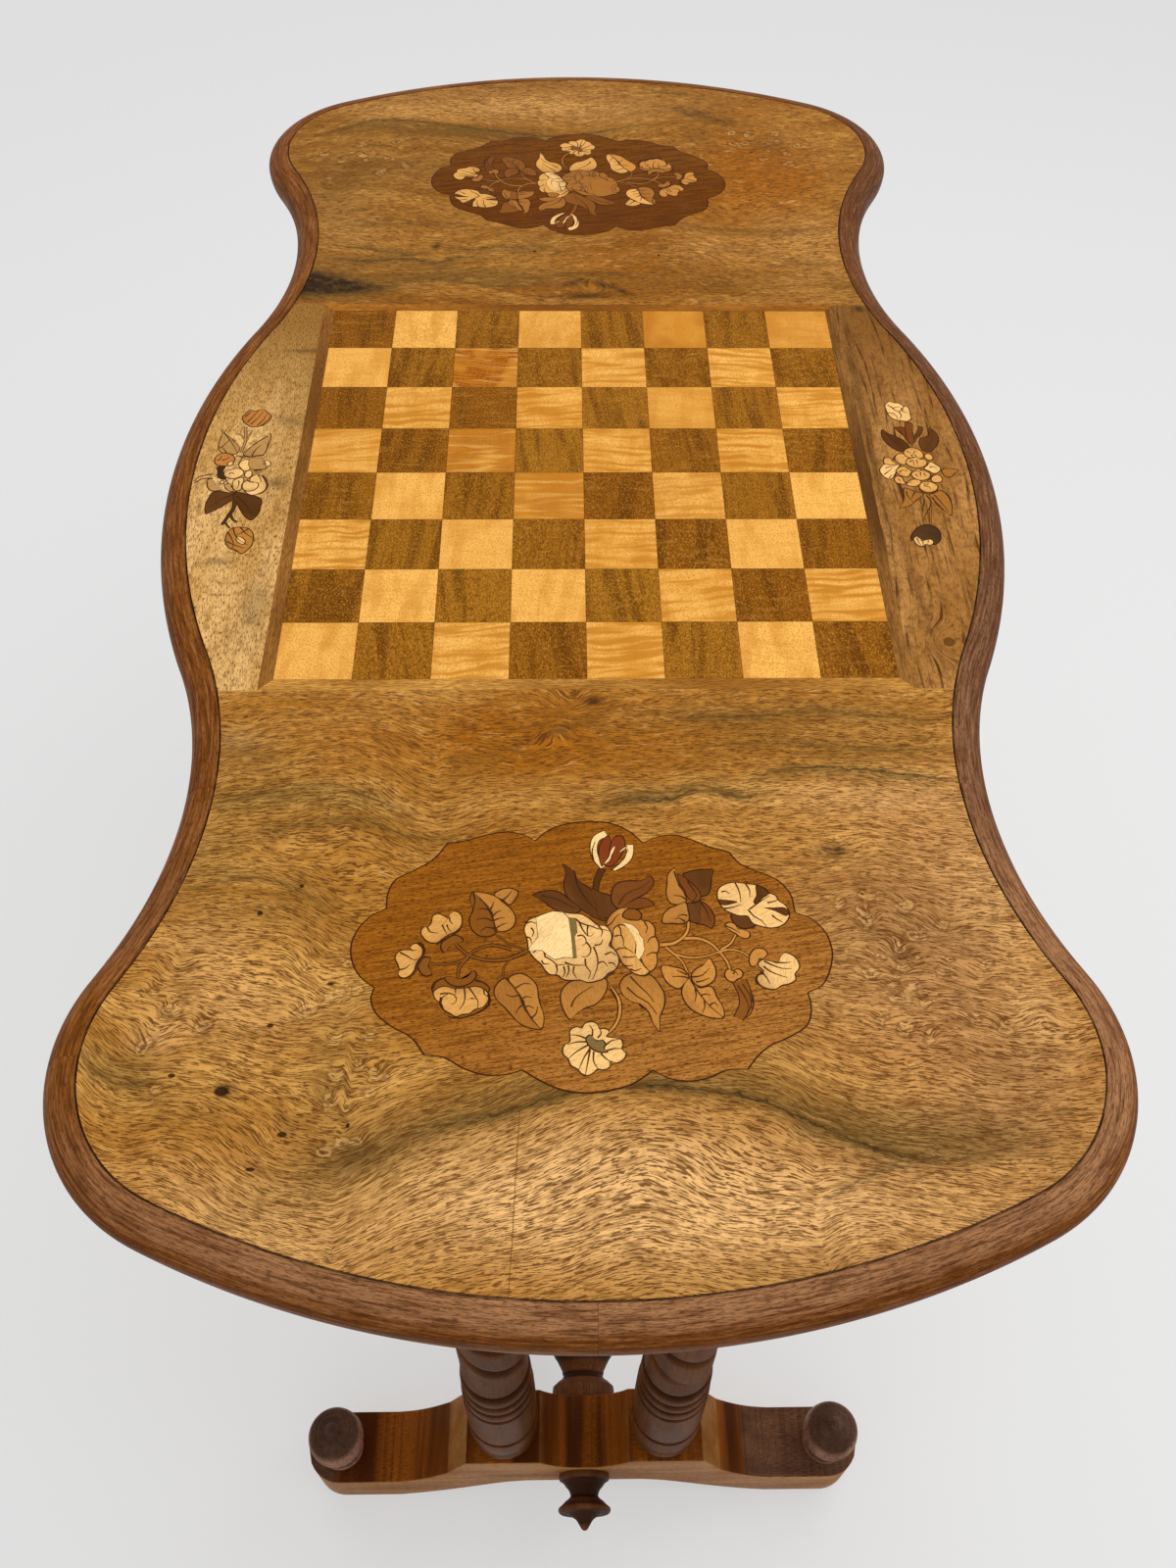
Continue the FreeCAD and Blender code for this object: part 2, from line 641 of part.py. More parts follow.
def knob():
    """Turned knob with a mushroom ring, a dome and a small nipple, pinned into the arm."""
    rows = [
        (-knob_pin_length, knob_pin_radius, 0), (0, knob_pin_radius, 0),
        (0, 0.80 * knob_radius, 0), (5.0, 0.80 * knob_radius, 1.0), (6.0, 0.68 * knob_radius, 0),
        (16.0, 0.50 * knob_radius, -1.8), (30.0, 0.72 * knob_radius, -2.6), (31.0, 0.80 * knob_radius, 0),
        (38.0, knob_radius, 1.6), (42.0, knob_radius, 0.6), (53.0, 0.32 * knob_radius, 4.2),
        (54.0, 0.25 * knob_radius, 0), (57.0, 0.25 * knob_radius, 0.8),
        (59.0, 0.14 * knob_radius, -0.4), (64.0, 0.20 * knob_radius, 0.5), (knob_height, 0, 1.0),
    ]
    return turned(rows, Vector(0, 0, arm_height), up)


def stretcher():
    """Turned stretcher with a collar and vase at each end, twists and a ringed middle."""
    length = 2 * (foot_y - foot_thickness / 2)
    half = length / 2
    collar, body = stretcher_collar_radius, stretcher_body_radius
    middle_half, shoulder = 46.0, 66.0
    outer_rows = [
        (-stretcher_pin_length, stretcher_pin_radius, 0), (0, stretcher_pin_radius, 0),
        (0, collar, 0), (12.0, collar, 0.5), (16.0, 0.83 * collar, 0), (21.0, 0.65 * collar, -0.8),
        (25.0, 0.69 * collar, 0.4), (29.0, 0.77 * collar, 0), (34.0, 0.87 * collar, 0),
        (42.0, body, 0.6), (48.0, body, 0.6), (56.0, 0.84 * body, 0), (shoulder, 0.84 * body, 0),
    ]
    middle_rows = [
        (half - middle_half, 0.84 * body, 0), (half - 34.0, 0.84 * body, 0),
        (half - 33.0, body, 0), (half - 24.0, body, 1.2), (half - 22.0, 0.9 * body, 0),
        (half + 22.0, 0.9 * body, 5.0), (half + 24.0, body, 0), (half + 33.0, body, 1.2),
        (half + 34.0, 0.84 * body, 0), (half + middle_half, 0.84 * body, 0),
    ]
    place = Vector(0, -half, stretcher_height)
    along = Vector(0, 1, 0)
    near_end = turned(outer_rows, place, along)
    near_twist = twist(shoulder - twist_root, half - middle_half + twist_root)
    near_twist.rotate(Vector(), Vector(1, 0, 0), -90)
    near_twist.translate(place)
    halves = [near_end, near_twist]
    for piece in (near_end, near_twist):
        turned_round = piece.copy()
        turned_round.rotate(Vector(0, 0, stretcher_height), up, 180)
        halves.append(turned_round)
    return turned(middle_rows, place, along).fuse(halves)


def finial(end):
    """Pendant finial with a collar, a waist, a sharp ring and an ogee point."""
    collar, ring = finial_collar_radius, finial_ring_radius
    rows = [
        (-finial_pin_length, finial_pin_radius, 0), (0, finial_pin_radius, 0),
        (0, collar, 0), (4.5, collar, 0.4), (9.0, 0.75 * collar, -0.6), (13.0, 0.59 * collar, -0.3),
        (16.0, 0.55 * collar, 0), (19.5, 0.71 * ring, -0.3), (23.5, 0.91 * ring, 0),
        (26.0, ring, 0.5), (28.5, 0.92 * ring, 0.4), (31.0, 0.46 * ring, -1.4),
        (35.0, 0.25 * ring, -0.5), (39.0, 0.13 * ring, 0), (40.5, 0, 0.4),
    ]
    place = Vector(0, end * (foot_y + foot_thickness / 2), stretcher_height)
    return turned(rows, place, Vector(0, end, 0))


def top_nodes():
    """Everything above the columns."""
    outline = top_outline()
    nodes = {}
    screws = []
    for end_name, end in (("near", -1), ("far", 1)):
        nodes["bearer_" + end_name] = bearer(end)
        screws += [slotted(screw(x, y), x, y) for x, y in screw_places(end)]
    nodes["bearer_screws"] = Part.makeCompound(screws)
    threads = [screw(x, y) for end in (-1, 1) for x, y in screw_places(end)]
    for index in range(core_boards):
        nodes["core_board_" + str(index + 1)] = core_board(outline, index).cut(threads)
    for group in (mouldings(), chessboard(), border_strips(), end_panels(outline), side_panels(outline)):
        nodes.update(group)
    return nodes


def base_nodes():
    """Feet, columns, knobs, stretcher and finials."""
    nodes = {"stretcher": stretcher()}
    one_column, one_knob = column(), knob()
    for end_name, end in (("near", -1), ("far", 1)):
        nodes["foot_" + end_name] = foot(end)
        nodes["finial_" + end_name] = finial(end)
        for side_name, side in (("left", -1), ("right", 1)):
            name = end_name + "_" + side_name
            nodes["column_" + name] = placed(one_column, side * column_x, end * foot_y)
            nodes["knob_" + name] = placed(one_knob, side * knob_x, end * foot_y)
    return nodes


os.makedirs("parts", exist_ok=True)
for nodes in (top_nodes(), base_nodes()):
    for name, shape in nodes.items():
        shape.exportStep("parts/" + name + ".step")
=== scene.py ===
import math

import bmesh
import bpy
import numpy as np
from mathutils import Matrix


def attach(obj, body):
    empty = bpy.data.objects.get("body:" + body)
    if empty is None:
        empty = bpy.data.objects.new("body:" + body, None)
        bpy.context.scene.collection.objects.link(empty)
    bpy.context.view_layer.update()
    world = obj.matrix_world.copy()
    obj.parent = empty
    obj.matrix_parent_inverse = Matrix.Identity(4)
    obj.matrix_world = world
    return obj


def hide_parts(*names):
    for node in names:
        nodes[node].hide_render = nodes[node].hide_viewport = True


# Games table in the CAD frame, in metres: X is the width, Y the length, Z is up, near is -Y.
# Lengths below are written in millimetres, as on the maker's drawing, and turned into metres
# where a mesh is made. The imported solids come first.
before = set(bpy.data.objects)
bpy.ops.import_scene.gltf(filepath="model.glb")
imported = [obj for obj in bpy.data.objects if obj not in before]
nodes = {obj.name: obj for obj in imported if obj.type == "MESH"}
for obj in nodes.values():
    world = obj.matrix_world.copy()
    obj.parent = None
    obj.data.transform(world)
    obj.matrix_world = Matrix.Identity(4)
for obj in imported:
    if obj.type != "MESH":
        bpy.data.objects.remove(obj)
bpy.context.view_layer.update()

# Camera: it stands in front of the near end and looks down on the whole top.
camera_data = bpy.data.cameras.new("camera")
camera_data.sensor_fit = "VERTICAL"
camera_data.sensor_height = 36.0
camera_data.lens = 31.3275
camera = bpy.data.objects.new("camera", camera_data)
camera.location = (-0.01255, -0.69438, 1.29385)
camera.rotation_euler = [math.radians(angle) for angle in (37.1832, -0.5957, -0.7766)]
bpy.context.scene.collection.objects.link(camera)
bpy.context.scene.camera = camera

# ---------------------------------------------------------------------------------------------
# Pine groundwork: four boards glued edge to edge, which carry the veneers. They show only from
# below, where the wood is planed and left bare, with open grain and brown knots.


def srgb(red, green, blue):
    """Linear colour from three screen values of 0 to 255: the screen curve, undone."""
    parts = np.array([red, green, blue]) / 255
    linear = np.where(parts <= 0.04045, parts / 12.92, ((parts + 0.055) / 1.055) ** 2.4)
    return (*linear.tolist(), 1.0)


def node(tree, kind, inputs=None, output=0, **settings):
    """Adds a node, sets it, feeds its inputs with values or sockets and gives an output."""
    made = tree.nodes.new("ShaderNode" + kind)
    for name, value in settings.items():
        setattr(made, name, value)
    return fed(made, inputs or {})[output]


def fed(made, inputs):
    """Feeds a node's inputs with values or sockets and gives its outputs."""
    for key, value in inputs.items():
        if isinstance(value, bpy.types.NodeSocket):
            made.id_data.links.new(value, made.inputs[key])
        else:
            made.inputs[key].default_value = value
    return made.outputs


def home(*values):
    """The tree that the first socket among the values is in."""
    return next(value.id_data for value in values if isinstance(value, bpy.types.NodeSocket))


def maths(operation, first, second=0.5):
    """One sum on numbers."""
    return node(home(first, second), "Math", {0: first, 1: second}, operation=operation)


def times(first, second):
    """Product of two numbers."""
    return maths("MULTIPLY", first, second)


def plus(first, second):
    """Sum of two numbers."""
    return maths("ADD", first, second)


def minus(first, second):
    """Difference of two numbers."""
    return maths("SUBTRACT", first, second)


def vectors(operation, first, second):
    """One sum on vectors."""
    return node(first.id_data, "VectorMath", {0: first, 1: second}, operation=operation)


def blended(share, under, over):
    """Colour that goes from under to over with the share. A colour is a socket or three screen
    values."""
    under, over = (srgb(*colour) if isinstance(colour, tuple) else colour
                   for colour in (under, over))
    return node(home(share, under, over), "Mix", {0: share, 6: under, 7: over}, output=2,
                data_type="RGBA")


def coats(ground, *layers):
    """Colour with layers laid over it in turn, each a share and a colour."""
    for share, colour in layers:
        ground = blended(share, ground, colour)
    return ground


def ramped(value, low, high, start=0.0, end=1.0):
    """Number that goes smoothly from start to end as the value goes from low to high."""
    return node(home(value, low, high), "MapRange", {0: value, 1: low, 2: high, 3: start, 4: end},
                interpolation_type="SMOOTHSTEP")


def noise(place, size, detail=2.0, roughness=0.5):
    """Soft noise of 0 to 1 at a place, in lumps of about the size that is given."""
    sizes = (size, size, size) if isinstance(size, (int, float)) else size
    return node(place.id_data, "TexNoise", {"Vector": vectors("DIVIDE", place, sizes), "Scale": 1.0,
                                            "Detail": detail, "Roughness": roughness})


def attribute(tree, name, output="Fac"):
    """What the mesh's points carry under a name."""
    return node(tree, "Attribute", output=output, attribute_name=name)


def object_place(tree):
    """Place on the object in millimetres."""
    here = node(tree, "TexCoord", output="Object")
    return node(tree, "VectorMath", {0: here, "Scale": 1000.0}, operation="SCALE")


def new_group(name, inputs, outputs):
    """Empty node group with named sockets; gives its tree, its inputs and its output node."""
    tree = bpy.data.node_groups.new(name, "ShaderNodeTree")
    for label, kind, value in inputs:
        socket = tree.interface.new_socket(label, in_out="INPUT", socket_type="NodeSocket" + kind)
        socket.default_value = value
    for label, kind in outputs:
        tree.interface.new_socket(label, in_out="OUTPUT", socket_type="NodeSocket" + kind)
    given = tree.nodes.new("NodeGroupInput").outputs
    return tree, given, tree.nodes.new("NodeGroupOutput")


def use(group, inputs):
    """Places a node group and gives its outputs."""
    placed = home(*inputs.values()).nodes.new("ShaderNodeGroup")
    placed.node_tree = group
    return fed(placed, inputs)


def grain_group():
    """Grain of wood at a place whose first part runs along the grain, in millimetres: tone is
    slow noise, lines are noise drawn out along the grain, and pores are its short dark peaks."""
    tree, given, result = new_group(
        "grain",
        [("Place", "Vector", (0, 0, 0)), ("Pore length", "Float", 5.0),
         ("Pore width", "Float", 0.6), ("Line width", "Float", 3.0), ("Pore share", "Float", 0.4)],
        [("Tone", "Float"), ("Lines", "Float"), ("Pores", "Float")])
    place = given["Place"]

    def drawn_out(length, width):
        return node(tree, "CombineXYZ", {0: length, 1: width, 2: width})

    slow = noise(place, drawn_out(120.0, 22.0), detail=3.0)
    line_length = times(given["Line width"], 16.0)
    lines = noise(place, drawn_out(line_length, given["Line width"]), detail=4.0, roughness=0.62)
    specks = noise(place, drawn_out(given["Pore length"], given["Pore width"]), detail=1.0)
    share = minus(0.95, times(given["Pore share"], 0.8))
    pores = ramped(specks, minus(share, 0.06), share)
    fed(result, {"Tone": slow, "Lines": lines, "Pores": pores})
    return tree


def grained(place, lines, pores, width=0.6, share=0.4):
    """Grain of wood at a place: how wide its lines are, how long and wide its pores, and how
    many there are."""
    return use(wood_grain, {"Place": place, "Line width": lines, "Pore length": pores,
                            "Pore width": width, "Pore share": share})


def handling_group():
    """Marks of use at a place in millimetres: dust specks are rare noise peaks and scratches are
    thin level lines of slow noise, kept only in patches."""
    tree, given, result = new_group(
        "handling", [("Place", "Vector", (0, 0, 0)), ("Scratch size", "Float", 60.0)],
        [("Specks", "Float"), ("Scratches", "Float"), ("Haze", "Float")])
    place = given["Place"]
    specks = ramped(noise(place, 2.6), 0.775, 0.80)
    sizes = node(tree, "CombineXYZ", {0: given["Scratch size"], 1: 9.0, 2: 9.0})
    level = noise(place, sizes, detail=0.0)
    near_level = maths("ABSOLUTE", minus(level, 0.5))
    kept = ramped(noise(place, 35), 0.52, 0.66)
    scratches = times(ramped(near_level, 0.0, 0.006, 1.0, 0.0), kept)
    haze = noise(place, 70, detail=4.0)
    fed(result, {"Specks": specks, "Scratches": scratches, "Haze": haze})
    return tree


def finish(name, paint, depth=0.00015, specular=0.03):
    """Material whose paint function gives colour, roughness and height. Old wax polish shines
    only a little, so the specular level is low."""
    material = bpy.data.materials.new(name)
    material.use_nodes = True
    tree = material.node_tree
    colour, roughness, height = paint(tree)
    bump = node(tree, "Bump", {"Height": height, "Distance": depth, "Strength": 1.0})
    fed(tree.nodes["Principled BSDF"], {"Base Color": colour, "Roughness": roughness,
                                        "Normal": bump, "Specular IOR Level": specular})
    return material


def split(vector):
    """The three parts of a vector."""
    return list(fed(vector.id_data.nodes.new("ShaderNodeSeparateXYZ"), {0: vector}))


def swapped(place, order):
    """The place with its parts in another order, such as ZXY to run the grain upwards."""
    parts = dict(zip("XYZ", split(place)))
    moved = {index: parts[letter] for index, letter in enumerate(order)}
    return node(place.id_data, "CombineXYZ", moved)


def paint_pine(tree):
    """Pale wood with brown late growth along Y and resin streaks."""
    place = swapped(object_place(tree), "YXZ")
    grain = grained(place, 4.5, 14.0)
    aged = coats(
        blended(grain["Tone"], (196, 152, 98), (222, 184, 128)),
        (ramped(grain["Lines"], 0.48, 0.72), (150, 100, 52)),
        (times(grain["Pores"], 0.35), (92, 58, 30)))
    rough = ramped(grain["Lines"], 0.2, 0.8, 0.78, 0.62)
    return aged, rough, grain["Lines"]


def dress(node_name, material):
    """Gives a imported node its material."""
    shown = nodes[node_name]
    shown.data.materials.clear()
    shown.data.materials.append(material)


wood_grain = grain_group()
handling = handling_group()
pine = finish("pine", paint_pine, depth=0.0003)
for board in range(1, 5):
    dress("core_board_%d" % board, pine)

# ---------------------------------------------------------------------------------------------
# Bearers: a walnut bar across each end under the top. The column tenons are glued into it and
# four slotted wood screws hold it to the groundwork.


def paint_bearer(tree):
    """Brown walnut with the grain along the bar."""
    grain = grained(object_place(tree), 2.6, 9.0, width=0.5)
    colour = coats(
        blended(grain["Tone"], (104, 66, 36), (146, 98, 58)),
        (ramped(grain["Lines"], 0.45, 0.75), (78, 46, 24)),
        (times(grain["Pores"], 0.6), (48, 27, 13)))
    return colour, ramped(grain["Lines"], 0.2, 0.8, 0.5, 0.62), grain["Lines"]


def paint_steel(tree):
    """Old steel: grey, with brown rust in patches and a turned face."""
    place = object_place(tree)
    rust = ramped(noise(place, 1.43, detail=5.0), 0.45, 0.62)
    colour = blended(rust, (120, 118, 114), (92, 58, 38))
    return colour, ramped(rust, 0.0, 1.0, 0.38, 0.8), rust


bearer_wood = finish("bearer_walnut", paint_bearer, depth=0.0002)
screw_steel = finish("screw_steel", paint_steel, depth=0.0001)
for end_name in ("near", "far"):
    dress("bearer_" + end_name, bearer_wood)
dress("bearer_screws", screw_steel)

# ---------------------------------------------------------------------------------------------
# Moulding: ten lengths of walnut with a thumb-shaped edge, bent round the top and mitred at the
# ends' middles, the widest bulges and the waists. A dark line shows inside it in a narrow groove:
# old glue with painted shade.
table_height = 712.0
core_top = 710.8
moulding_section = {"width": 18.0, "nose": 12.2, "foot": 15.0, "thickness": 25.0}
quirk_width = 0.5
mitre_gap = 0.12


def arc_points(centre, radius, start, stop, side, step):
    """Points and outward normals along an arc between two angles, about a step apart."""
    count = max(2, int(math.ceil(abs(stop - start) * radius / step)) + 1)
    angle = np.linspace(start, stop, count)
    normal = np.stack([np.cos(angle), np.sin(angle)], 1)
    return np.array(centre) + radius * normal, side * normal


def quarter_outline(step):
    """Right far quarter of the outline from the end's middle to the belly, as four arcs that
    touch: a wide end, a small bulge, a hollow waist and a full belly."""
    rad = math.radians
    bulge, waist = ((162.2, 409.6), 75.8), ((451.7, 253.8), 252.9)
    return {
        "end": arc_points((0, 74.2), 448.4, rad(90), rad(64.2), 1, step),
        "bulge": arc_points(*bulge, rad(64.2), rad(-28.3), 1, step),
        "bulge_end": arc_points(*bulge, rad(64.2), 0, 1, step),
        "bulge_side": arc_points(*bulge, 0, rad(-28.3), 1, step),
        "waist": arc_points(*waist, rad(151.7), rad(203.1), -1, step),
        "waist_far": arc_points(*waist, rad(151.7), math.pi, -1, step),
        "waist_near": arc_points(*waist, math.pi, rad(203.1), -1, step),
        "belly": arc_points((-143.7, 0), 394.4, rad(23.1), 0, 1, step),
    }


def chained(*runs):
    """One run of points and normals from runs that follow on from each other."""
    points = np.concatenate([runs[0][0]] + [run[0][1:] for run in runs[1:]])
    normals = np.concatenate([runs[0][1]] + [run[1][1:] for run in runs[1:]])
    return points, normals


def thumb_section():
    """Section as outward reach and height: up the inner face, over the narrow groove of the dark line,
    round a quarter ellipse to the nose and back under a parabola."""
    width, nose = moulding_section["width"], moulding_section["nose"]
    foot, thickness = moulding_section["foot"], moulding_section["thickness"]
    angle = np.linspace(0, math.pi / 2, 15)[1:]
    start = quirk_width + 1.0
    over = np.stack([start + (width - start) * np.sin(angle), nose * (np.cos(angle) - 1)], 1)
    share = np.linspace(0, 1, 7)[1:, None]
    nose_point, low = np.array([width, -nose]), np.array([foot, -thickness])
    corner = np.array([width, -nose - 0.55 * (thickness - nose)])
    under = (1 - share) ** 2 * nose_point + 2 * share * (1 - share) * corner + share**2 * low
    inner = [(0, -thickness), (0, -1.1), (quirk_width, -1.1), (quirk_width + 0.2, -0.2), (start, 0)]
    section = np.concatenate([inner, over, under])
    return section[:, 0], table_height + section[:, 1]


def tube_faces(rings, around):
    """Faces of a tube: quads between neighbouring rings, each ring joined round, and flat ends,
    the first ring's before the last's."""
    index = np.arange(rings * around).reshape(rings, around)
    ahead = np.roll(index, -1, axis=1)
    quads = np.stack([index[:-1], ahead[:-1], ahead[1:], index[1:]], -1).reshape(-1, 4)
    return quads.tolist() + [index[0, ::-1].tolist(), index[-1].tolist()]


def tube_mesh(name, points, marks, sharp=40.0):
    """Closed mesh from an array of rings of points."""
    return closed_mesh(name, points.reshape(-1, 3), tube_faces(*points.shape[:2]), marks, sharp)


def closed_mesh(name, points, faces, marks, sharp=40.0, weld=0.002):
    """Object from points in millimetres and faces: doubles are welded, faces turned outwards,
    edges sharper than the angle kept sharp. Marks are numbers, vectors or colours with one entry
    for each point, and become its attributes."""
    mesh = bpy.data.meshes.new(name)
    mesh.from_pydata((np.asarray(points) / 1000).tolist(), [], faces)
    kinds = {1: ("FLOAT", "value"), 3: ("FLOAT_VECTOR", "vector"), 4: ("FLOAT_COLOR", "color")}
    for label, values in marks.items():
        values = np.asarray(values, np.float32).reshape(len(points), -1)
        kind, field = kinds[values.shape[1]]
        layer = mesh.attributes.new(label, kind, "POINT")
        layer.data.foreach_set(field, values.ravel())
    work = bmesh.new()
    work.from_mesh(mesh)
    bmesh.ops.remove_doubles(work, verts=work.verts, dist=weld / 1000)
    bmesh.ops.recalc_face_normals(work, faces=work.faces)
    work.to_mesh(mesh)
    work.free()
    mesh.shade_smooth()
    mesh.set_sharp_from_angle(angle=math.radians(sharp))
    made = bpy.data.objects.new(name, mesh)
    bpy.context.scene.collection.objects.link(made)
    return made


def settle(piece, material, slot_name, *stands_for):
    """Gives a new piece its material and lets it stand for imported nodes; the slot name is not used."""
    piece.data.materials.append(material)
    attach(piece, "root")
    if stands_for:
        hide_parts(*stands_for)
    return piece


def length_so_far(points):
    """Length along a line of points at each of them."""
    return np.r_[0, np.cumsum(np.linalg.norm(np.diff(points, axis=0), axis=1))]


def moulding_length(name, run, flip_x, flip_y, material):
    """Length of moulding: the section carried along a run of the outline, square to it."""
    points, normals = run
    steps = length_so_far(points)
    points = points.copy()
    for tip, beside in ((0, 1), (-1, -2)):
        inward = points[beside] - points[tip]
        points[tip] += inward / np.linalg.norm(inward) * mitre_gap / 2
    out, height = thumb_section()
    ring = np.empty((len(points), len(out), 3))
    ring[:, :, :2] = points[:, None, :] + out[None, :, None] * normals[:, None, :]
    ring[:, :, 2] = height[None, :]
    across = length_so_far(np.stack([out, height], 1))
    run_place = np.empty_like(ring)
    run_place[:, :, 0] = steps[:, None]
    run_place[:, :, 1] = across[None, :]
    # Each quarter is from another place in the wood
    run_place[:, :, 2] = (flip_x * 3 + flip_y * 7) * 40.0
    # The narrow groove at the inner edge carries the dark line: old glue with painted shade.
    in_line = (out > 0.0) & (out < quirk_width + 0.3) & (height > core_top)
    dark_line = np.broadcast_to(1.0 * in_line, ring.shape[:2])
    reach = np.broadcast_to(out / moulding_section["width"], ring.shape[:2])
    if flip_x:
        ring[:, :, 0] *= -1
    if flip_y:
        ring[:, :, 1] *= -1
    piece = tube_mesh(name + "_run", ring, {"run": run_place, "dark_line": dark_line, "reach": reach},
                      sharp=50.0)
    return settle(piece, material, "walnut_moulding", name)


def paint_moulding(tree):
    """Reddish walnut with long grain: its inner band is pinkish brown in places, most at the near
    right, partly worn colour and partly painted sheen; painted shade darkens the right side from
    the belly to the far end; the nose keeps a darker, more orange brown; and the line in the groove
    is black with old glue and painted shade."""
    run = attribute(tree, "run", "Vector")
    grain = grained(run, 1.4, 4.0, width=0.4, share=0.4)
    place = object_place(tree)
    marks = use(handling, {"Place": place})
    band = ramped(plus(attribute(tree, "reach"), times(grain["Lines"], 0.3)), 0.72, 1.06)
    across, along, _ = split(place)
    slow = noise(place, 150, detail=2.0)
    # Pinkish band towards the near right: partly worn colour, partly painted sheen.
    worn = plus(maths("DIVIDE", minus(across, along), 900.0), slow)
    # Painted shade darkens the right side from the belly to the far end.
    shaded = times(ramped(across, 150.0, 235.0), ramped(along, -330.0, -240.0))
    pink_wear_and_sheen = blended(grain["Tone"], (136, 90, 56), (166, 118, 78))
    nose = blended(grain["Tone"], (102, 52, 8), (138, 80, 26))
    # Mottle of the dark line in the groove, which is old glue with painted shade.
    glue_shade_mottle = noise(place, 14, detail=2.0)
    colour = coats(
        blended(grain["Tone"], (106, 54, 4), (146, 86, 26)),
        (ramped(worn, 0.5, 0.95), pink_wear_and_sheen), (band, nose), (times(shaded, 0.6), (78, 50, 34)),
        (ramped(grain["Lines"], 0.44, 0.66, 0.0, 0.8), (80, 38, 6)),
        (ramped(grain["Lines"], 0.5, 0.3, 0.0, 0.35), (186, 130, 84)),
        (times(grain["Pores"], 0.6), (58, 28, 8)), (times(marks["Specks"], 0.7), (46, 24, 10)),
        # Dark line in the groove: old glue with painted shade.
        (times(attribute(tree, "dark_line"), ramped(glue_shade_mottle, 0.38, 0.56, 0.55, 1.0)), (36, 20, 8)))
    rough = ramped(marks["Haze"], 0.3, 0.7, 0.38, 0.52)
    return colour, rough, minus(grain["Lines"], grain["Pores"])


moulding_wood = finish("moulding_walnut", paint_moulding, depth=0.00012, specular=0.045)
arcs = quarter_outline(3.0)
end_run = chained(arcs["end"], arcs["bulge_end"])
shoulder_run = chained(arcs["bulge_side"], arcs["waist_far"])
half_belly = chained(arcs["waist_near"], arcs["belly"])
belly_back = tuple(part[::-1] * np.array([1, -1]) for part in half_belly)
belly_run = chained(half_belly, belly_back)
for side_name, flip_x in (("left", True), ("right", False)):
    moulding_length("moulding_belly_" + side_name, belly_run, flip_x, False, moulding_wood)
    for end_name, flip_y in (("near", True), ("far", False)):
        corner_name = end_name + "_" + side_name
        moulding_length("moulding_end_" + corner_name, end_run, flip_x, flip_y, moulding_wood)
        moulding_length("moulding_shoulder_" + corner_name, shoulder_run, flip_x, flip_y,
                        moulding_wood)

# ---------------------------------------------------------------------------------------------
# End veneers: sheets of figured walnut, laid with the grain across the table. Thin dark veins
# with grey-green wood beside them run through both, with swirls round clusters of small burrs.
board_edge = 186.0


def waves(x, y, size, seed):
    """Smooth noise of about -1 to 1: waves of near one length that run in seeded directions."""
    count = 9
    dice = np.random.default_rng(seed)
    total = np.zeros_like(x)
    for _ in range(count):
        heading, phase = dice.uniform(0, 2 * math.pi, 2)
        rate = 2 * math.pi / (size * dice.uniform(0.7, 1.5))
        total += np.sin(rate * (x * math.cos(heading) + y * math.sin(heading)) + phase)
    return total / math.sqrt(count)


def patch(x, y, middle_x, middle_y, length, width, turn=0.0, bend=0.0):
    """Soft spot: a bell over an ellipse of the given half sizes, turned in degrees and bent by
    a parabola."""
    cos, sin = math.cos(math.radians(turn)), math.sin(math.radians(turn))
    along = (x - middle_x) * cos + (y - middle_y) * sin
    across = -(x - middle_x) * sin + (y - middle_y) * cos - bend * along**2 / 1000
    return np.exp(-((along / length) ** 2) - (across / width) ** 2)


def patches(x, y, spots):
    """Sum of soft spots, each a strength and what patch takes, kept between 0 and 1."""
    return np.clip(sum(strength * patch(x, y, *spot) for strength, *spot in spots), 0, 1)


def through(places, values, at):
    """Smooth line through given points: cubic pieces whose slopes are the slopes between the
    neighbours."""
    places, values = np.array(places, float), np.array(values, float)
    slopes = np.gradient(values, places)
    index = np.clip(np.searchsorted(places, at) - 1, 0, len(places) - 2)
    width = places[index + 1] - places[index]
    t = (at - places[index]) / width
    return ((1 + 2 * t) * (1 - t) ** 2 * values[index] + t * (1 - t) ** 2 * width * slopes[index]
            + t * t * (3 - 2 * t) * values[index + 1] + t * t * (t - 1) * width * slopes[index + 1])


def curve_at(points, lengths, at):
    """Smooth line through points: each coordinate runs smoothly over the length so far."""
    return np.stack([through(lengths, coordinate, at) for coordinate in points.T], 1)


def curve_through(points, count):
    """The smooth line through points at a count of even steps."""
    points = np.asarray(points, float)
    lengths = length_so_far(points)
    return curve_at(points, lengths, np.linspace(0, lengths[-1], count))


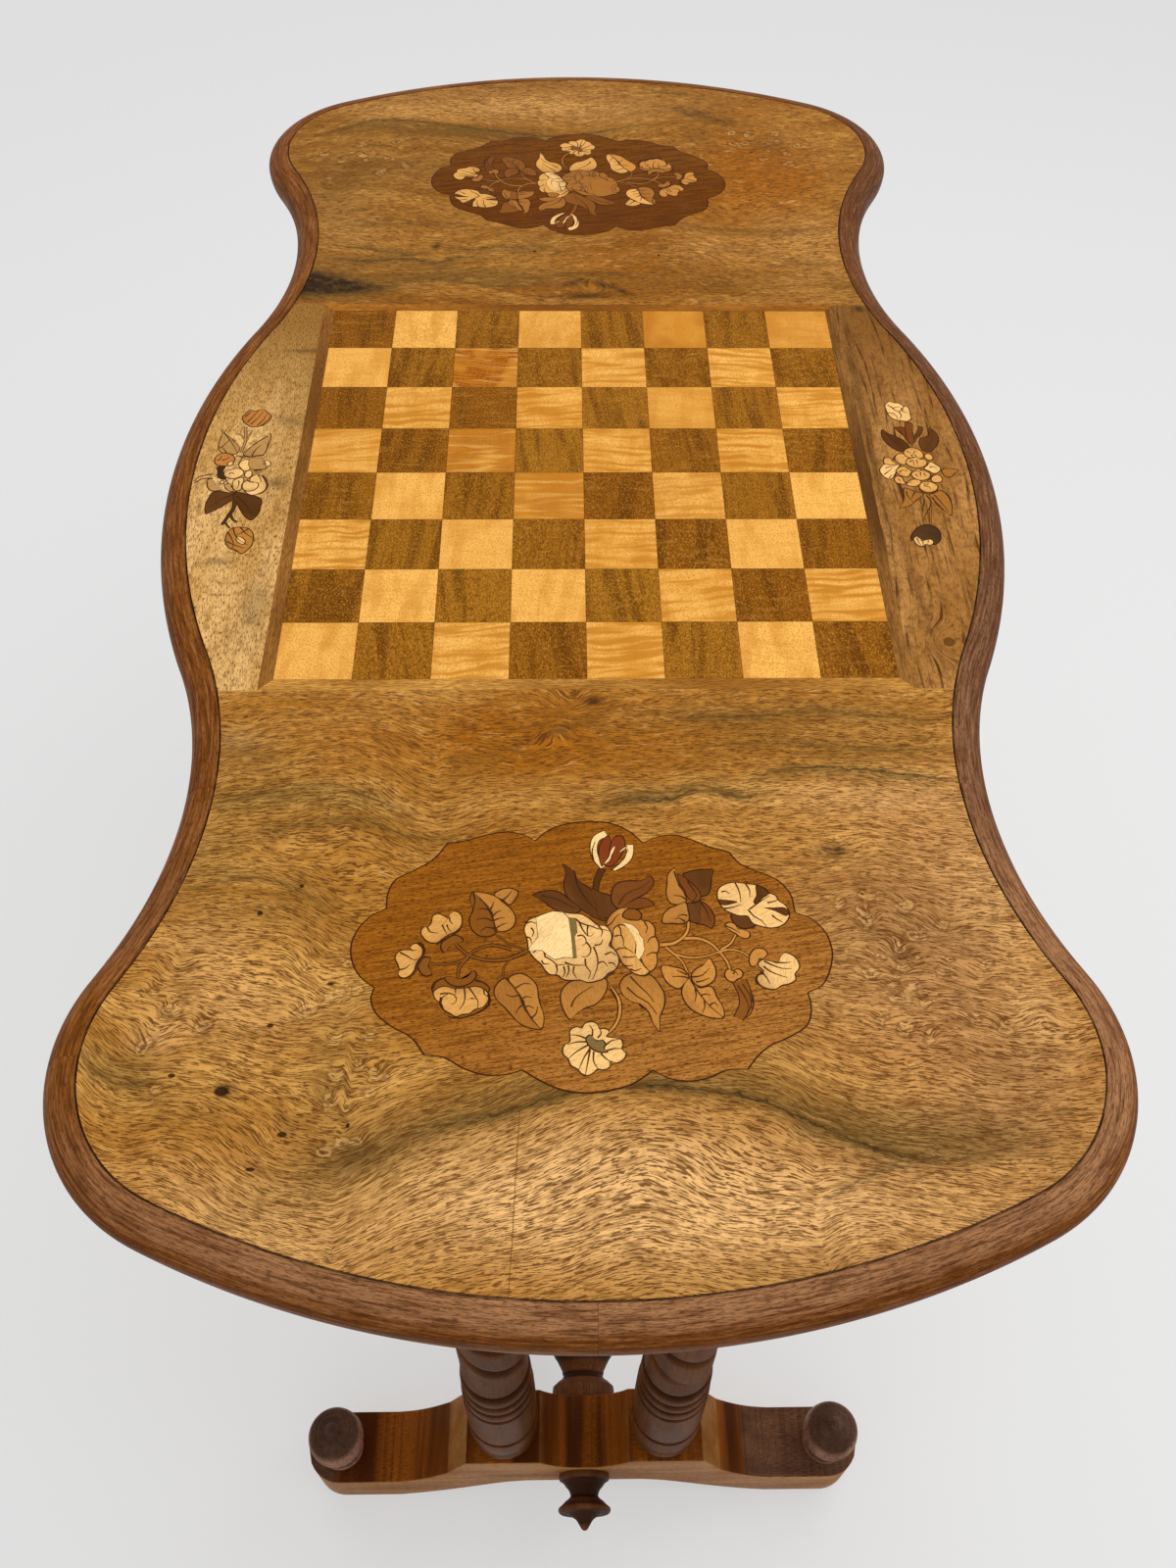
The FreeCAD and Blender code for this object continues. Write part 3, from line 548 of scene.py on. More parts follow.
def vein_field(x, y, veins):
    """Signed distance from the nearest vein and its strength there, which fades at its ends and
    ends between veins; the bend that veins give to the grain; and the green wood beside them,
    which is a bell on the side that is named."""
    nearest = np.full_like(x, 9.0)
    strength, green = np.zeros_like(x), np.zeros_like(x)
    bend, weights = np.zeros_like(x), np.full_like(x, 0.25)
    for force, side, spread, line in veins:
        spots = np.array(line, float)
        start, stop = spots[0, 0], spots[-1, 0]
        height = through(spots[:, 0], spots[:, 1], np.clip(x, start, stop))
        slope = np.gradient(height, axis=1) / np.gradient(x, axis=1)
        away = (y - height) / np.sqrt(1 + slope**2)
        fade = 0.25 * (stop - start)
        inside = np.clip((x - start) / fade, 0, 1) * np.clip((stop - x) / fade, 0, 1)
        outside = np.maximum(np.maximum(start - x, x - stop), 0)
        closer = np.abs(away) < np.abs(nearest)
        strength = np.where(closer, force * inside * (np.abs(away) < 7.0), strength)
        nearest = np.where(closer, away, nearest)
        beside = np.where(away * side > 0, spread, 0.25 * spread)
        green = np.maximum(green, force * inside * np.exp(-((away / beside) ** 2)))
        weight = np.exp(-((away / 30.0) ** 2) - (outside / 40.0) ** 2)
        bend += weight * (height - spots[:, 1].mean())
        weights += weight
    return nearest, strength, bend / weights, green


def slab_faces(rows, columns):
    """Faces of a slab, and which of its points are its rim: a grid on top, walls down from the
    rim to points that come after the grid, and one flat face below."""
    index = np.arange(rows * columns).reshape(rows, columns)
    quads = np.stack([index[:-1, :-1], index[:-1, 1:], index[1:, 1:], index[1:, :-1]], -1)
    rim = np.concatenate([index[0, :-1], index[:-1, -1], index[-1, :0:-1], index[:0:-1, 0]])
    low = rows * columns + np.arange(len(rim))
    walls = np.stack([rim, np.roll(rim, -1), np.roll(low, -1), low], -1)
    return quads.reshape(-1, 4).tolist() + walls.tolist() + [low.tolist()], rim


def slab_mesh(name, x, y, marks):
    """Closed sheet of veneer from a grid of points."""
    rows, columns = x.shape
    faces, rim = slab_faces(rows, columns)
    points = np.stack([x, y, np.full(x.shape, table_height)], -1).reshape(-1, 3)
    under = points[rim] * [1, 1, 0] + [0, 0, core_top]
    carried = {}
    for label, values in marks.items():
        values = np.asarray(values).reshape(rows * columns, -1)
        carried[label] = np.concatenate([values, values[rim]])
    return closed_mesh(name, np.concatenate([points, under]), faces, carried)


def end_veneer_grid(columns):
    """Rows at each point of the outline from the board's edge to the end's middle, each row
    spread evenly across the table."""
    fine = quarter_outline(2.6)
    points, _ = chained(fine["end"], fine["bulge"], fine["waist"])
    points = points[points[:, 1] > board_edge + 0.5]
    edge_x = np.interp(board_edge, fine["waist"][0][::-1, 1], fine["waist"][0][::-1, 0])
    points = np.concatenate([points, [(edge_x, board_edge)]])
    share = np.linspace(-1, 1, columns)
    return points[:, :1] * share, np.repeat(points[:, 1:], columns, axis=1)


# Veins: strength, the side of their green wood (1 is towards +Y), its spread and the line
near_veins = [
    (0.95, 1, 20, [(-114, -472), (-78, -448), (-45, -440), (-18, -432), (14, -426), (45, -429),
                   (80, -436), (105, -449), (135, -461), (165, -462), (206, -450)]),
    (0.85, 1, 9, [(2, -270), (22, -264), (44, -263), (60, -256), (76, -262), (104, -257)]),
    (0.8, -1, 6, [(78, -255), (100, -245), (132, -243), (168, -247), (206, -254)]),
    (0.5, -1, 12, [(-208, -268), (-176, -259), (-140, -254), (-110, -264), (-80, -282)]),
    (0.4, -1, 8, [(-204, -290), (-160, -281), (-120, -276), (-88, -288), (-40, -279)]),
    (0.45, 1, 12, [(24, -202), (80, -207), (130, -203), (200, -211)]),
    (0.35, 1, 9, [(50, -229), (104, -225), (160, -231), (206, -229)]),
    (0.5, 1, 10, [(-243, -404), (-232, -416), (-216, -424), (-196, -421)]),
    (0.45, 1, 5, [(96, -486), (112, -474), (126, -468), (150, -466)]),
    (0.4, 1, 8, [(-200, -318), (-176, -312), (-150, -318), (-128, -332)])]
far_veins = [
    (0.75, -1, 13, [(-240, 424), (-205, 433), (-178, 449), (-140, 452), (-110, 445), (-80, 438),
                    (-50, 431), (-16, 426), (14, 433), (46, 444), (84, 452)]),
    (0.8, -1, 8, [(-202, 249), (-164, 242), (-130, 245), (-108, 240), (-88, 247), (-66, 243)]),
    (0.6, 1, 6, [(-200, 264), (-166, 259), (-140, 252), (-108, 250)]),
    (0.6, -1, 8, [(-106, 262), (-84, 257), (-62, 262), (-30, 256)]),
    (0.45, 1, 13, [(-160, 214), (-104, 217), (-50, 208), (-20, 210)]),
    (0.35, 1, 7, [(-190, 288), (-140, 293), (-90, 290)]),
    (0.4, -1, 8, [(60, 300), (110, 286), (160, 284), (206, 292)]),
    (0.35, 1, 6, [(96, 262), (130, 252), (166, 240), (206, 236)])]

# Burrs: place, size and pull on the grain; each bends the lines round itself
near_burrs = [(-11, -196, 13, 16), (-17, -215, 11, -12), (-108, -346, 12, 8), (-150, -300, 16, 6),
              (-190, -214, 14, 9), (-200, -365, 10, 8), (-205, -402, 14, 9), (-118, -390, 6, 6),
              (-150, -352, 20, -9), (138, -331, 24, -12), (150, -365, 8, 7), (186, -372, 8, 7),
              (128, -296, 11, 6), (176, -340, 12, 8), (-36, -240, 20, 9), (215, -392, 9, -8)]
far_burrs = [(10, 202, 14, 18), (17, 219, 9, -12), (65, 262, 7, 9), (-178, 372, 20, 9),
             (-150, 398, 12, 8), (-195, 345, 11, 8), (120, 300, 30, 13), (172, 392, 12, 8),
             (142, 420, 12, 9), (198, 372, 12, 8), (-60, 275, 18, -8), (110, 232, 34, 16)]


def eye_places(clusters, seed):
    """Small burr eyes scattered over clusters: a cluster is a middle, two half sizes and how
    many; an eye is a place, a size and its pull."""
    dice = np.random.default_rng(seed)
    eyes = []
    for middle_x, middle_y, half_x, half_y, count in clusters:
        for _ in range(count):
            spot = dice.normal(0, 0.55, 2) * (half_x, half_y) + (middle_x, middle_y)
            size = dice.uniform(2.6, 5.6)
            eyes.append((*spot, size, size * dice.uniform(0.6, 1.1)))
    return eyes


near_eyes = eye_places([(-112, -432, 16, 34, 15), (-126, -372, 16, 22, 8), (158, -372, 36, 40, 30),
                        (-208, -392, 16, 26, 7), (138, -331, 14, 10, 5)], 5)
far_eyes = eye_places([(-165, 388, 42, 34, 20), (150, 410, 34, 30, 16)], 6)


def end_figure(x, y, burrs, eyes, bend, seed):
    """Grain place of an end veneer: along is X, and across is Y less the bend of the veins, with
    slow and fine waves and a bell at each burr, so that the lines close into rings round it.
    Also the distance from the nearest eye in shares of its size."""
    across = y - bend + 5.0 * waves(x, y, 260, seed) + 2.0 * waves(x, 0.7 * y, 80, seed + 1)
    across += 0.45 * waves(x, 1.2 * y, 24, seed + 2)
    from_eye = np.full_like(x, 3.0)
    for burr_x, burr_y, size, pull in burrs + eyes:
        distance = np.hypot(x - burr_x, (y - burr_y) * 1.15)
        across += 0.7 * pull * np.exp(-((distance / size) ** 2))
    for eye_x, eye_y, size, _ in eyes:
        from_eye = np.minimum(from_eye, np.hypot(x - eye_x, (y - eye_y) * 1.15) / size)
    return np.stack([x, across, np.full_like(x, 13.0 * seed)], -1), from_eye


# Spots of other wood: strength, place, half length, half width, turn and bend
near_spots = {
    "green": [(0.65, -100, -460, 55, 15, 20), (0.5, 160, -452, 60, 14, -6), (0.5, 100, -210, 110, 9),
              (0.5, -185, -228, 30, 12, -20), (0.4, -160, -262, 60, 16, -8), (0.4, 20, -264, 22, 10),
              (0.4, -205, -425, 40, 12, -30), (0.35, -60, -236, 22, 10, 30), (0.5, -120, -425, 16, 30),
              (0.35, 150, -345, 50, 30, 10), (0.3, 196, -420, 30, 30), (0.35, 120, -232, 90, 8),
              (0.4, -196, -300, 20, 40), (0.3, 90, -512, 100, 7, 6), (0.35, -150, -330, 30, 12)],
    "dark": [(0.9, 4, -195, 7, 4, -10), (0.5, -18, -217, 14, 3, 20), (0.8, -169, -427, 5, 3.2, -15),
             (0.7, 125, -296, 10, 2.4, 8), (0.5, 128, -299, 5, 3), (0.7, 30, -427, 20, 1.8, 5),
             (0.45, -108, -460, 10, 5, 30), (0.5, 96, -450, 9, 2.6, -30), (0.4, -139, -445, 9, 3, -60),
             (0.7, -147, -312, 1.6, 1.6), (0.7, -166, -329, 1.5, 1.5), (0.5, 156, -382, 2.2, 2.0),
             (0.5, 153, -360, 5, 1.6, 20), (0.4, 176, -382, 4, 3), (0.5, 163, -491, 1.4, 1.2),
             (0.5, 181, -474, 1.4, 1.2), (0.45, -46, -261, 4, 1.0, 80)],
    "warm": [(0.95, -45, -222, 42, 30), (0.6, 10, -225, 60, 34), (0.5, -130, -215, 70, 30),
             (0.5, 80, -215, 60, 22), (0.3, -190, -470, 50, 26), (0.35, -40, -285, 90, 14),
             (0.35, 140, -205, 80, 16)],
    "pink": [(0.7, 150, -365, 62, 70), (0.4, 190, -290, 40, 60), (0.5, 90, -490, 120, 34),
             (0.5, 205, -420, 40, 50), (0.35, 165, -450, 40, 20)],
    "pale": [(1.0, 0, -474, 95, 30), (0.6, 70, -488, 120, 18), (0.45, 150, -262, 60, 13),
             (0.4, -195, -222, 18, 10), (0.5, -150, -490, 60, 20, -22), (0.4, -170, -385, 44, 22),
             (0.45, 205, -330, 22, 50), (0.4, 212, -395, 12, 18), (0.35, -190, -350, 22, 18),
             (0.4, -205, -402, 12, 10)]}
far_spots = {
    "green": [(0.9, -202, 212, 30, 18), (0.8, -168, 206, 36, 11), (0.5, 30, 215, 120, 14),
              (0.4, -120, 432, 90, 12, -6), (0.45, -30, 262, 18, 9), (0.4, -190, 350, 34, 60),
              (0.4, -80, 226, 80, 9), (0.4, 90, 470, 34, 12, -20), (0.3, -130, 380, 40, 34),
              (0.3, 70, 240, 30, 16), (0.35, 200, 210, 18, 24), (0.4, 100, 425, 14, 20)],
    "dark": [(1.6, -208, 214, 30, 16), (1.2, -176, 208, 30, 8), (0.9, -109, 262, 5, 3, 50),
             (0.75, -17, 254, 3, 2.6), (0.9, 3, 197, 30, 3.4, 4), (0.8, 17, 211, 11, 3, -25),
             (0.7, -5, 214, 10, 2.4, 30), (0.6, 32, 203, 9, 2.6, -40), (0.5, 12, 225, 22, 2.2),
             (0.45, 104, 466, 18, 7, -30), (0.4, 122, 452, 16, 8), (0.35, 158, 414, 14, 10),
             (0.35, 60, 408, 14, 2, 20), (0.5, 163, 317, 12, 1.6, -35),
             (0.55, 64, 262, 4, 3.4), (0.7, -86, 486, 5, 1.6, -40), (0.5, 96, 462, 8, 2.2, -45),
             (0.35, 124, 478, 12, 8), (0.4, -60, 510, 30, 3, 10), (0.4, 85, 500, 30, 4, -12)],
    "warm": [(0.9, 130, 380, 60, 60), (0.7, 20, 225, 46, 26), (0.5, 130, 290, 60, 60),
             (0.5, 120, 470, 60, 26), (0.6, 162, 318, 5, 4), (0.5, 60, 225, 30, 50),
             (0.5, -30, 205, 80, 12), (0.6, 170, 360, 30, 40)],
    "pink": [(0.2, -60, 500, 130, 18)],
    "pale": [(0.65, -30, 474, 110, 22), (0.4, -180, 290, 30, 40), (0.4, 175, 270, 40, 40),
             (0.35, 96, 262, 30, 22), (0.35, -150, 470, 50, 16)]}

# Worm holes and one loose knot: place, half length and half width
near_holes = [(-170, -428, 3.6, 2.6), (-165, -333, 1.5, 1.5), (-146, -317, 1.2, 1.2),
              (-194, -420, 1.8, 1.2), (-152, -395, 1.6, 1.2), (-140, -449, 2.4, 1.4),
              (-152, -465, 2.2, 1), (-111, -445, 0.9, 1.4), (-126, -373, 1.8, 0.9)]
far_holes = [(-34, 255, 1.4, 1.4), (60, 250, 1.2, 1.2), (143, 402, 1.6, 1.0)]

# A crack runs up from the near rim, and leans a little
crack_end, crack_x, crack_y, crack_lean = -432.0, -34.0, -440.0, 0.04


def paint_figured(tree, low, high, palest, holes):
    """Golden walnut: tone follows the lines, then warm, pink, pale and green wood are laid over
    it where the sheet has them, with short dark pores, dark veins, burr eyes and scratches."""
    seen = attribute(tree, "grain", "Vector")
    grain = grained(seen, 1.1, 4.2, width=0.4, share=0.45)
    place = object_place(tree)
    marks = use(handling, {"Place": place, "Scratch size": 150.0})
    mottle = noise(seen, (11, 4.5, 9), detail=5.0, roughness=0.62)
    green, dark, warm = split(attribute(tree, "tones", "Vector"))
    pink, pale, from_eye = split(attribute(tree, "more_tones", "Vector"))
    from_vein, vein_strength, from_crack = split(attribute(tree, "veins", "Vector"))
    ragged = ramped(grain["Lines"], 0.25, 0.62, 0.35, 1.0)

    lines = times(ramped(grain["Lines"], 0.48, 0.62), ramped(grain["Tone"], 0.3, 0.7, 0.35, 0.65))
    wobble = noise(place, (5, 4, 5), detail=3.0)
    vein_gap = maths("ABSOLUTE", plus(from_vein, times(minus(wobble, 0.5), 6.0)))
    halo = times(ramped(vein_gap, 0.0, 4.5, 0.55, 0.0), vein_strength)
    core = times(ramped(vein_gap, 0.1, 1.0, 0.95, 0.0),
                 times(vein_strength, ramped(mottle, 0.36, 0.56, 0.35, 1.0)))
    eye_gap = plus(from_eye, times(minus(wobble, 0.5), 2.2))
    rim = maths("ABSOLUTE", minus(eye_gap, 0.85))
    ring = times(ramped(rim, 0.0, 0.3, 0.66, 0.0), ragged)
    hollow = 0.0
    for hole_x, hole_y, length, width in holes:
        reach = vectors("DIVIDE", vectors("SUBTRACT", place, (hole_x, hole_y, 0)),
                        (length, width, 9999.0))
        across, along, _ = split(reach)
        gap = plus(times(across, across), times(along, along))
        hollow = maths("MAXIMUM", ramped(gap, 0.5, 1.3, 0.92, 0.0), hollow)
    crack = ramped(maths("ABSOLUTE", plus(from_crack, times(minus(wobble, 0.5), 1.2))), 0.12, 0.42,
                   0.75, 0.0)
    colour = coats(
        blended(ramped(grain["Tone"], 0.34, 0.66), low, high),
        (warm, (164, 96, 14)), (pink, (192, 138, 88)), (pale, palest),
        (ramped(mottle, 0.54, 0.34, 0.0, 0.4), (122, 76, 24)),
        (ramped(mottle, 0.54, 0.7, 0.0, 0.35), (228, 176, 100)),
        (times(green, ragged), (104, 82, 36)), (lines, (128, 78, 24)), (halo, (92, 72, 34)),
        (core, (52, 38, 16)), (ramped(eye_gap, 0.9, 0.35, 0.0, 0.38), (220, 172, 106)),
        (ring, (108, 66, 24)), (ramped(eye_gap, 0.05, 0.3, 0.7, 0.0), (74, 42, 16)),
        (times(grain["Pores"], 0.85), (92, 50, 14)),
        (times(dark, ramped(wobble, 0.3, 0.6, 0.6, 1.0)), (46, 30, 14)), (hollow, (44, 22, 8)),
        (crack, (112, 66, 26)), (times(marks["Scratches"], 0.45), (84, 50, 20)),
        (times(marks["Specks"], 0.8), (62, 34, 12)))
    rough = ramped(marks["Haze"], 0.3, 0.7, 0.42, 0.56)
    height = minus(times(grain["Lines"], 0.3), grain["Pores"])
    return colour, rough, height


near_walnut = finish("near_figured_walnut", lambda tree: paint_figured(
    tree, (178, 120, 46), (210, 154, 76), (236, 184, 118), near_holes), depth=0.00008)
far_walnut = finish("far_figured_walnut", lambda tree: paint_figured(
    tree, (144, 90, 24), (186, 130, 56), (222, 166, 92), far_holes), depth=0.00008)
sheets = {"near": (-1, near_walnut, near_veins, near_burrs, near_eyes, near_spots),
          "far": (1, far_walnut, far_veins, far_burrs, far_eyes, far_spots)}
for end_name, (end, material, veins, burrs, eyes, spots) in sheets.items():
    grid_x, grid_y = end_veneer_grid(columns=281)
    grid_y = grid_y * end
    from_vein, vein_strength, bend, beside = vein_field(grid_x, grid_y, veins)
    grain_place, from_eye = end_figure(grid_x, grid_y, burrs, eyes, bend, 4 + end)
    amount = {wood: patches(grid_x, grid_y, places) for wood, places in spots.items()}
    green = np.clip(amount["green"] + 0.8 * beside, 0, 1)
    beside_crack = grid_x - crack_x - crack_lean * (grid_y - crack_y)
    from_crack = np.where(grid_y < crack_end, beside_crack, 20.0)
    panel_marks = {"grain": grain_place,
                   "tones": np.stack([green, amount["dark"], amount["warm"]], -1),
                   "more_tones": np.stack([amount["pink"], amount["pale"], from_eye], -1),
                   "veins": np.stack([from_vein, vein_strength, from_crack], -1)}
    sheet = slab_mesh("veneer_" + end_name + "_sheet", grid_x, grid_y, panel_marks)
    settle(sheet, material, "walnut_figured", "veneer_" + end_name)

# ---------------------------------------------------------------------------------------------
# Side veneers: two narrow sheets with the grain along the table. The left one is pale olive and
# finely mottled, the right one is brown with long dark lines.


def side_veneer_grid(side, columns):
    """Rows along the board's edge, spread from the board to the outline."""
    fine = quarter_outline(3.0)
    points, _ = chained(fine["waist"], fine["belly"])
    points = points[points[:, 1] < board_edge - 0.5]
    edge_x = np.interp(board_edge, fine["waist"][0][::-1, 1], fine["waist"][0][::-1, 0])
    half = np.concatenate([[(edge_x, board_edge)], points])
    whole = np.concatenate([half, half[-2::-1] * [1, -1]])
    share = np.linspace(0, 1, columns)
    x = board_edge + (whole[:, :1] - board_edge) * share
    return side * x, np.repeat(whole[:, 1:], columns, axis=1)


def paint_side(tree, pale, mid, dark, line_colour, line_width, line_strength, pore_strength):
    """Walnut with the grain along Y, in its own colours."""
    grain = grained(attribute(tree, "grain", "Vector"), line_width, 3.4, width=0.55, share=0.4)
    place = object_place(tree)
    marks = use(handling, {"Place": place})
    mottle = noise(place, (5, 8, 9), detail=5.0, roughness=0.75)
    shade, stain, _ = split(attribute(tree, "tones", "Vector"))
    lines = times(ramped(grain["Lines"], 0.5, 0.7), line_strength)
    pores = times(grain["Pores"], pore_strength)
    colour = coats(
        blended(ramped(grain["Tone"], 0.34, 0.66), mid, pale),
        (ramped(mottle, 0.56, 0.34, 0.0, 0.65), dark), (shade, dark), (lines, line_colour),
        (pores, (84, 50, 16)), (stain, (40, 28, 14)), (times(marks["Specks"], 0.7), (66, 40, 18)))
    rough = ramped(marks["Haze"], 0.3, 0.7, 0.4, 0.54)
    return colour, rough, times(grain["Pores"], -1.0)


left_walnut = finish("left_side_walnut", lambda tree: paint_side(
    tree, (232, 184, 116), (204, 154, 84), (146, 102, 44), (132, 90, 38),
    1.6, 0.5, 0.8), depth=0.00008)
right_walnut = finish("right_side_walnut", lambda tree: paint_side(
    tree, (188, 132, 70), (156, 104, 46), (112, 70, 24), (72, 40, 10),
    2.8, 1.0, 0.5), depth=0.00008)
# Stains: strength, place, half length, half width and turn
side_stains = {
    "left": [(0.6, -192, 130, 18, 2.2, 3), (0.5, -196, -10, 9, 5), (0.45, -194, 52, 14, 4, -20),
             (0.5, -222, -82, 9, 3, 10), (0.4, -196, -120, 8, 26)],
    "right": [(0.5, 190, 30, 2.4, 130), (0.4, 200, -110, 2.0, 60, 4), (0.9, 203, 181, 4, 3)]}
for side_name, side, material in (("left", -1, left_walnut), ("right", 1, right_walnut)):
    grid_x, grid_y = side_veneer_grid(side, columns=34)
    across = grid_x + 5.0 * waves(grid_x, grid_y, 220, 30 + side) + 1.6 * waves(
        grid_x, 0.35 * grid_y, 40, 33 + side)
    shade = 0.2 * np.clip(waves(grid_x, 0.5 * grid_y, 90, 36 + side), 0, 1)
    shade += (0.95 if side < 0 else 0.7) * np.clip((grid_y - 40) / 120, 0, 1)
    shade = np.clip(shade, 0, 1)
    if side > 0:
        across += 12.0 * patch(grid_x, grid_y, 208, -150, 9, 12)
    stain = np.zeros_like(grid_x)
    for strength, *spot in side_stains[side_name]:
        stain += strength * patch(grid_x, grid_y, *spot)
    side_marks = {"grain": np.stack([grid_y, across, np.full_like(grid_x, 50.0 * side)], -1),
                  "tones": np.stack([shade, np.clip(stain, 0, 1), np.zeros_like(shade)], -1)}
    sheet = slab_mesh("veneer_" + side_name + "_sheet", grid_x, grid_y, side_marks)
    settle(sheet, material, "walnut_figured", "veneer_" + side_name)

# ---------------------------------------------------------------------------------------------
# Cartouches: a lobed panel of mahogany coloured veneer is let into each end, with a dark line of
# glue round it. The far one is the near one turned half round.
cartouche_y = 354.3
panel_proud = 0.03
# Drawing of the outline: its corner, its units to the millimetre, and a row for each lobe, from
# the cusp before it
cartouche_corner = (-130.0, 85.0)
drawing_units = 6.0
cartouche_lobes = """
400,118 460,98 530,88 580,103 608,122;
650,82 710,57 780,50 850,58 905,88 945,132;
1000,107 1050,104 1100,122 1150,148 1212,170;
1240,210 1300,245 1350,272 1385,320 1395,390;
1440,412 1475,455 1490,515 1475,590 1445,640 1403,662;
1408,700 1390,765 1340,800 1270,835 1228,875 1210,900;
1150,903 1100,925 1040,935 985,925 945,902;
890,940 820,962 760,968 690,958 630,930 580,898;
540,910 480,912 420,893 360,858 305,850;
270,800 200,755 155,710 142,670 149,636;
110,605 78,550 70,490 90,430 125,390 163,367;
165,310 180,270 240,230 300,185 335,130;"""


def cutting_list(text):
    """Rows of a cutting list, each ended by a semicolon: the words before the colon and the
    places after it."""
    rows = []
    for row in text.strip(";").split(";"):
        words, _, line = row.rpartition(":")
        places = [tuple(map(float, place.split(","))) for place in line.split()]
        rows.append((words.split(), places))
    return rows


def sheet_of(corner_x, corner_y, units):
    """Turns places on a drawing, counted right and down from its corner in so many units to the
    millimetre, into places on the table."""
    def placed(*places):
        return [(corner_x + x / units, corner_y - y / units) for x, y in places]
    return placed


def cartouche_mesh(name, end):
    """Panel as rings that shrink towards its middle from the lobed outline, closer together at
    the rim, where the glue line is."""
    at = sheet_of(*cartouche_corner, drawing_units)
    lobes = [line for _, line in cutting_list(cartouche_lobes)]
    rim = np.concatenate([curve_through(at(before[-1], *lobe), count=33)[:-1]
                          for before, lobe in zip(lobes[-1:] + lobes, lobes)])
    reach = np.linalg.norm(rim, axis=1)
    insets = [0.0, 0.65, 1.0, 3.0]
    shares = [1 - inset / reach for inset in insets] + [np.full(len(rim), share)
                                                        for share in (0.8, 0.5, 0.2, 0.0)]
    share = np.array(shares)[:, :, None]
    flat = share * rim
    height = np.full(share.shape, table_height + panel_proud)
    rings = np.concatenate([flat, height], -1)
    low = rings[0] * [1, 1, 0] + [0, 0, core_top]
    points = np.concatenate([low[None], rings])
    points[:, :, 1] -= cartouche_y
    points[:, :, :2] *= -end
    dark_line = np.zeros(points.shape[:2])
    dark_line[:3] = 1.0
    return tube_mesh(name, points, {"dark_line": dark_line})


def paint_cartouche(tree, board_side, end_side, deep):
    """Mahogany coloured veneer with slanting grain and many fine pores, paler and pinker towards
    the end of the table."""
    place = node(tree, "VectorRotate", {"Vector": object_place(tree), "Angle": math.radians(-9)},
                 rotation_type="Z_AXIS")
    grain = grained(place, 1.3, 3.0, width=0.4, share=0.4)
    marks = use(handling, {"Place": object_place(tree), "Scratch size": 90.0})
    across, along, _ = split(place)
    outwards = minus(maths("ABSOLUTE", along), times(across, -0.25))
    colour = coats(
        blended(ramped(outwards, 300.0, 430.0), board_side, end_side),
        (ramped(grain["Lines"], 0.42, 0.66, 0.0, 0.85), deep),
        (ramped(grain["Lines"], 0.48, 0.3, 0.0, 0.3), end_side),
        (times(grain["Pores"], 0.85), (70, 34, 6)), (times(marks["Specks"], 0.8), (48, 24, 8)),
        (attribute(tree, "dark_line"), (58, 26, 8)))
    rough = ramped(marks["Haze"], 0.3, 0.7, 0.42, 0.54)
    return colour, rough, times(grain["Pores"], -1.0)


near_ground = finish("near_cartouche_wood", lambda tree: paint_cartouche(
    tree, (152, 88, 12), (176, 116, 50), (116, 64, 12)), depth=0.00006)
far_ground = finish("far_cartouche_wood", lambda tree: paint_cartouche(
    tree, (106, 54, 0), (118, 66, 4), (74, 34, 0)), depth=0.00006)
for end_name, end, material in (("near", -1, near_ground), ("far", 1, far_ground)):
    settle(cartouche_mesh("cartouche_" + end_name + "_panel", end), material, "cartouche_wood",
           "cartouche_" + end_name)

# ---------------------------------------------------------------------------------------------
# Bouquets: flowers and leaves sawn from pale, tan, red and dark veneers and let into the
# cartouches. Each piece has a dark saw kerf round it, scorched shading and engraved veins. Its
# level says how far above its neighbours it lies.
piece_proud, piece_step, piece_depth = 0.05, 0.012, 0.4
cut_width = 0.95
woods = {"white": (255, 214, 146), "cream": (246, 196, 122), "straw": (226, 166, 86),
         "honey": (204, 138, 60), "tan": (186, 124, 52), "buff": (164, 104, 38),
         "brown": (130, 74, 14), "russet": (108, 54, 8), "umber": (78, 42, 8),
         "black": (46, 32, 12), "red": (124, 46, 12), "grey": (124, 104, 56), "ink": (52, 24, 4),
         "chestnut": (112, 58, 18), "orange": (192, 124, 56), "olive": (186, 140, 78)}


def piece_patch(rim, heart, wood, level, kerf=0.95):
    """One sawn piece: rings from its rim to its heart line or point, a wall down into the
    ground and a flat face below. The kerf is the outermost ring."""
    rim, heart = np.asarray(rim, float), np.broadcast_to(heart, np.shape(rim))
    count = len(rim)
    reach = np.linalg.norm(heart - rim, axis=1)
    first = np.minimum(0.45, 0.55 * kerf / np.maximum(reach, 1e-6))
    second = np.minimum(0.6, kerf / np.maximum(reach, 1e-6))
    share = np.stack([np.zeros(count), first, second, np.maximum(0.72, second), np.ones(count)])
    flat = rim + share[:, :, None] * (heart - rim)
    height = table_height + piece_proud + piece_step * level - piece_step * (share < 1e-6)
    top = np.concatenate([flat, height[:, :, None]], -1)
    low = np.concatenate([rim, np.full((count, 1), table_height - piece_depth)], 1)
    points = np.concatenate([low[None], top]).reshape(-1, 3)
    faces = tube_faces(6, count)[:-1]
    cos, sin = math.cos(0.9 * level), math.sin(0.9 * level)
    x, y, _ = points.T
    cut = np.stack([x * cos + y * sin, y * cos - x * sin, np.full(6 * count, 7.0 * level)], -1)
    edge = np.zeros((6, count))
    edge[:3] = 1.0
    colour = np.tile(srgb(*woods[wood]), (6 * count, 1))
    return points, faces, {"cut": cut, "scorch": np.zeros(6 * count), "kerf": edge.ravel(),
                           "wood": colour}


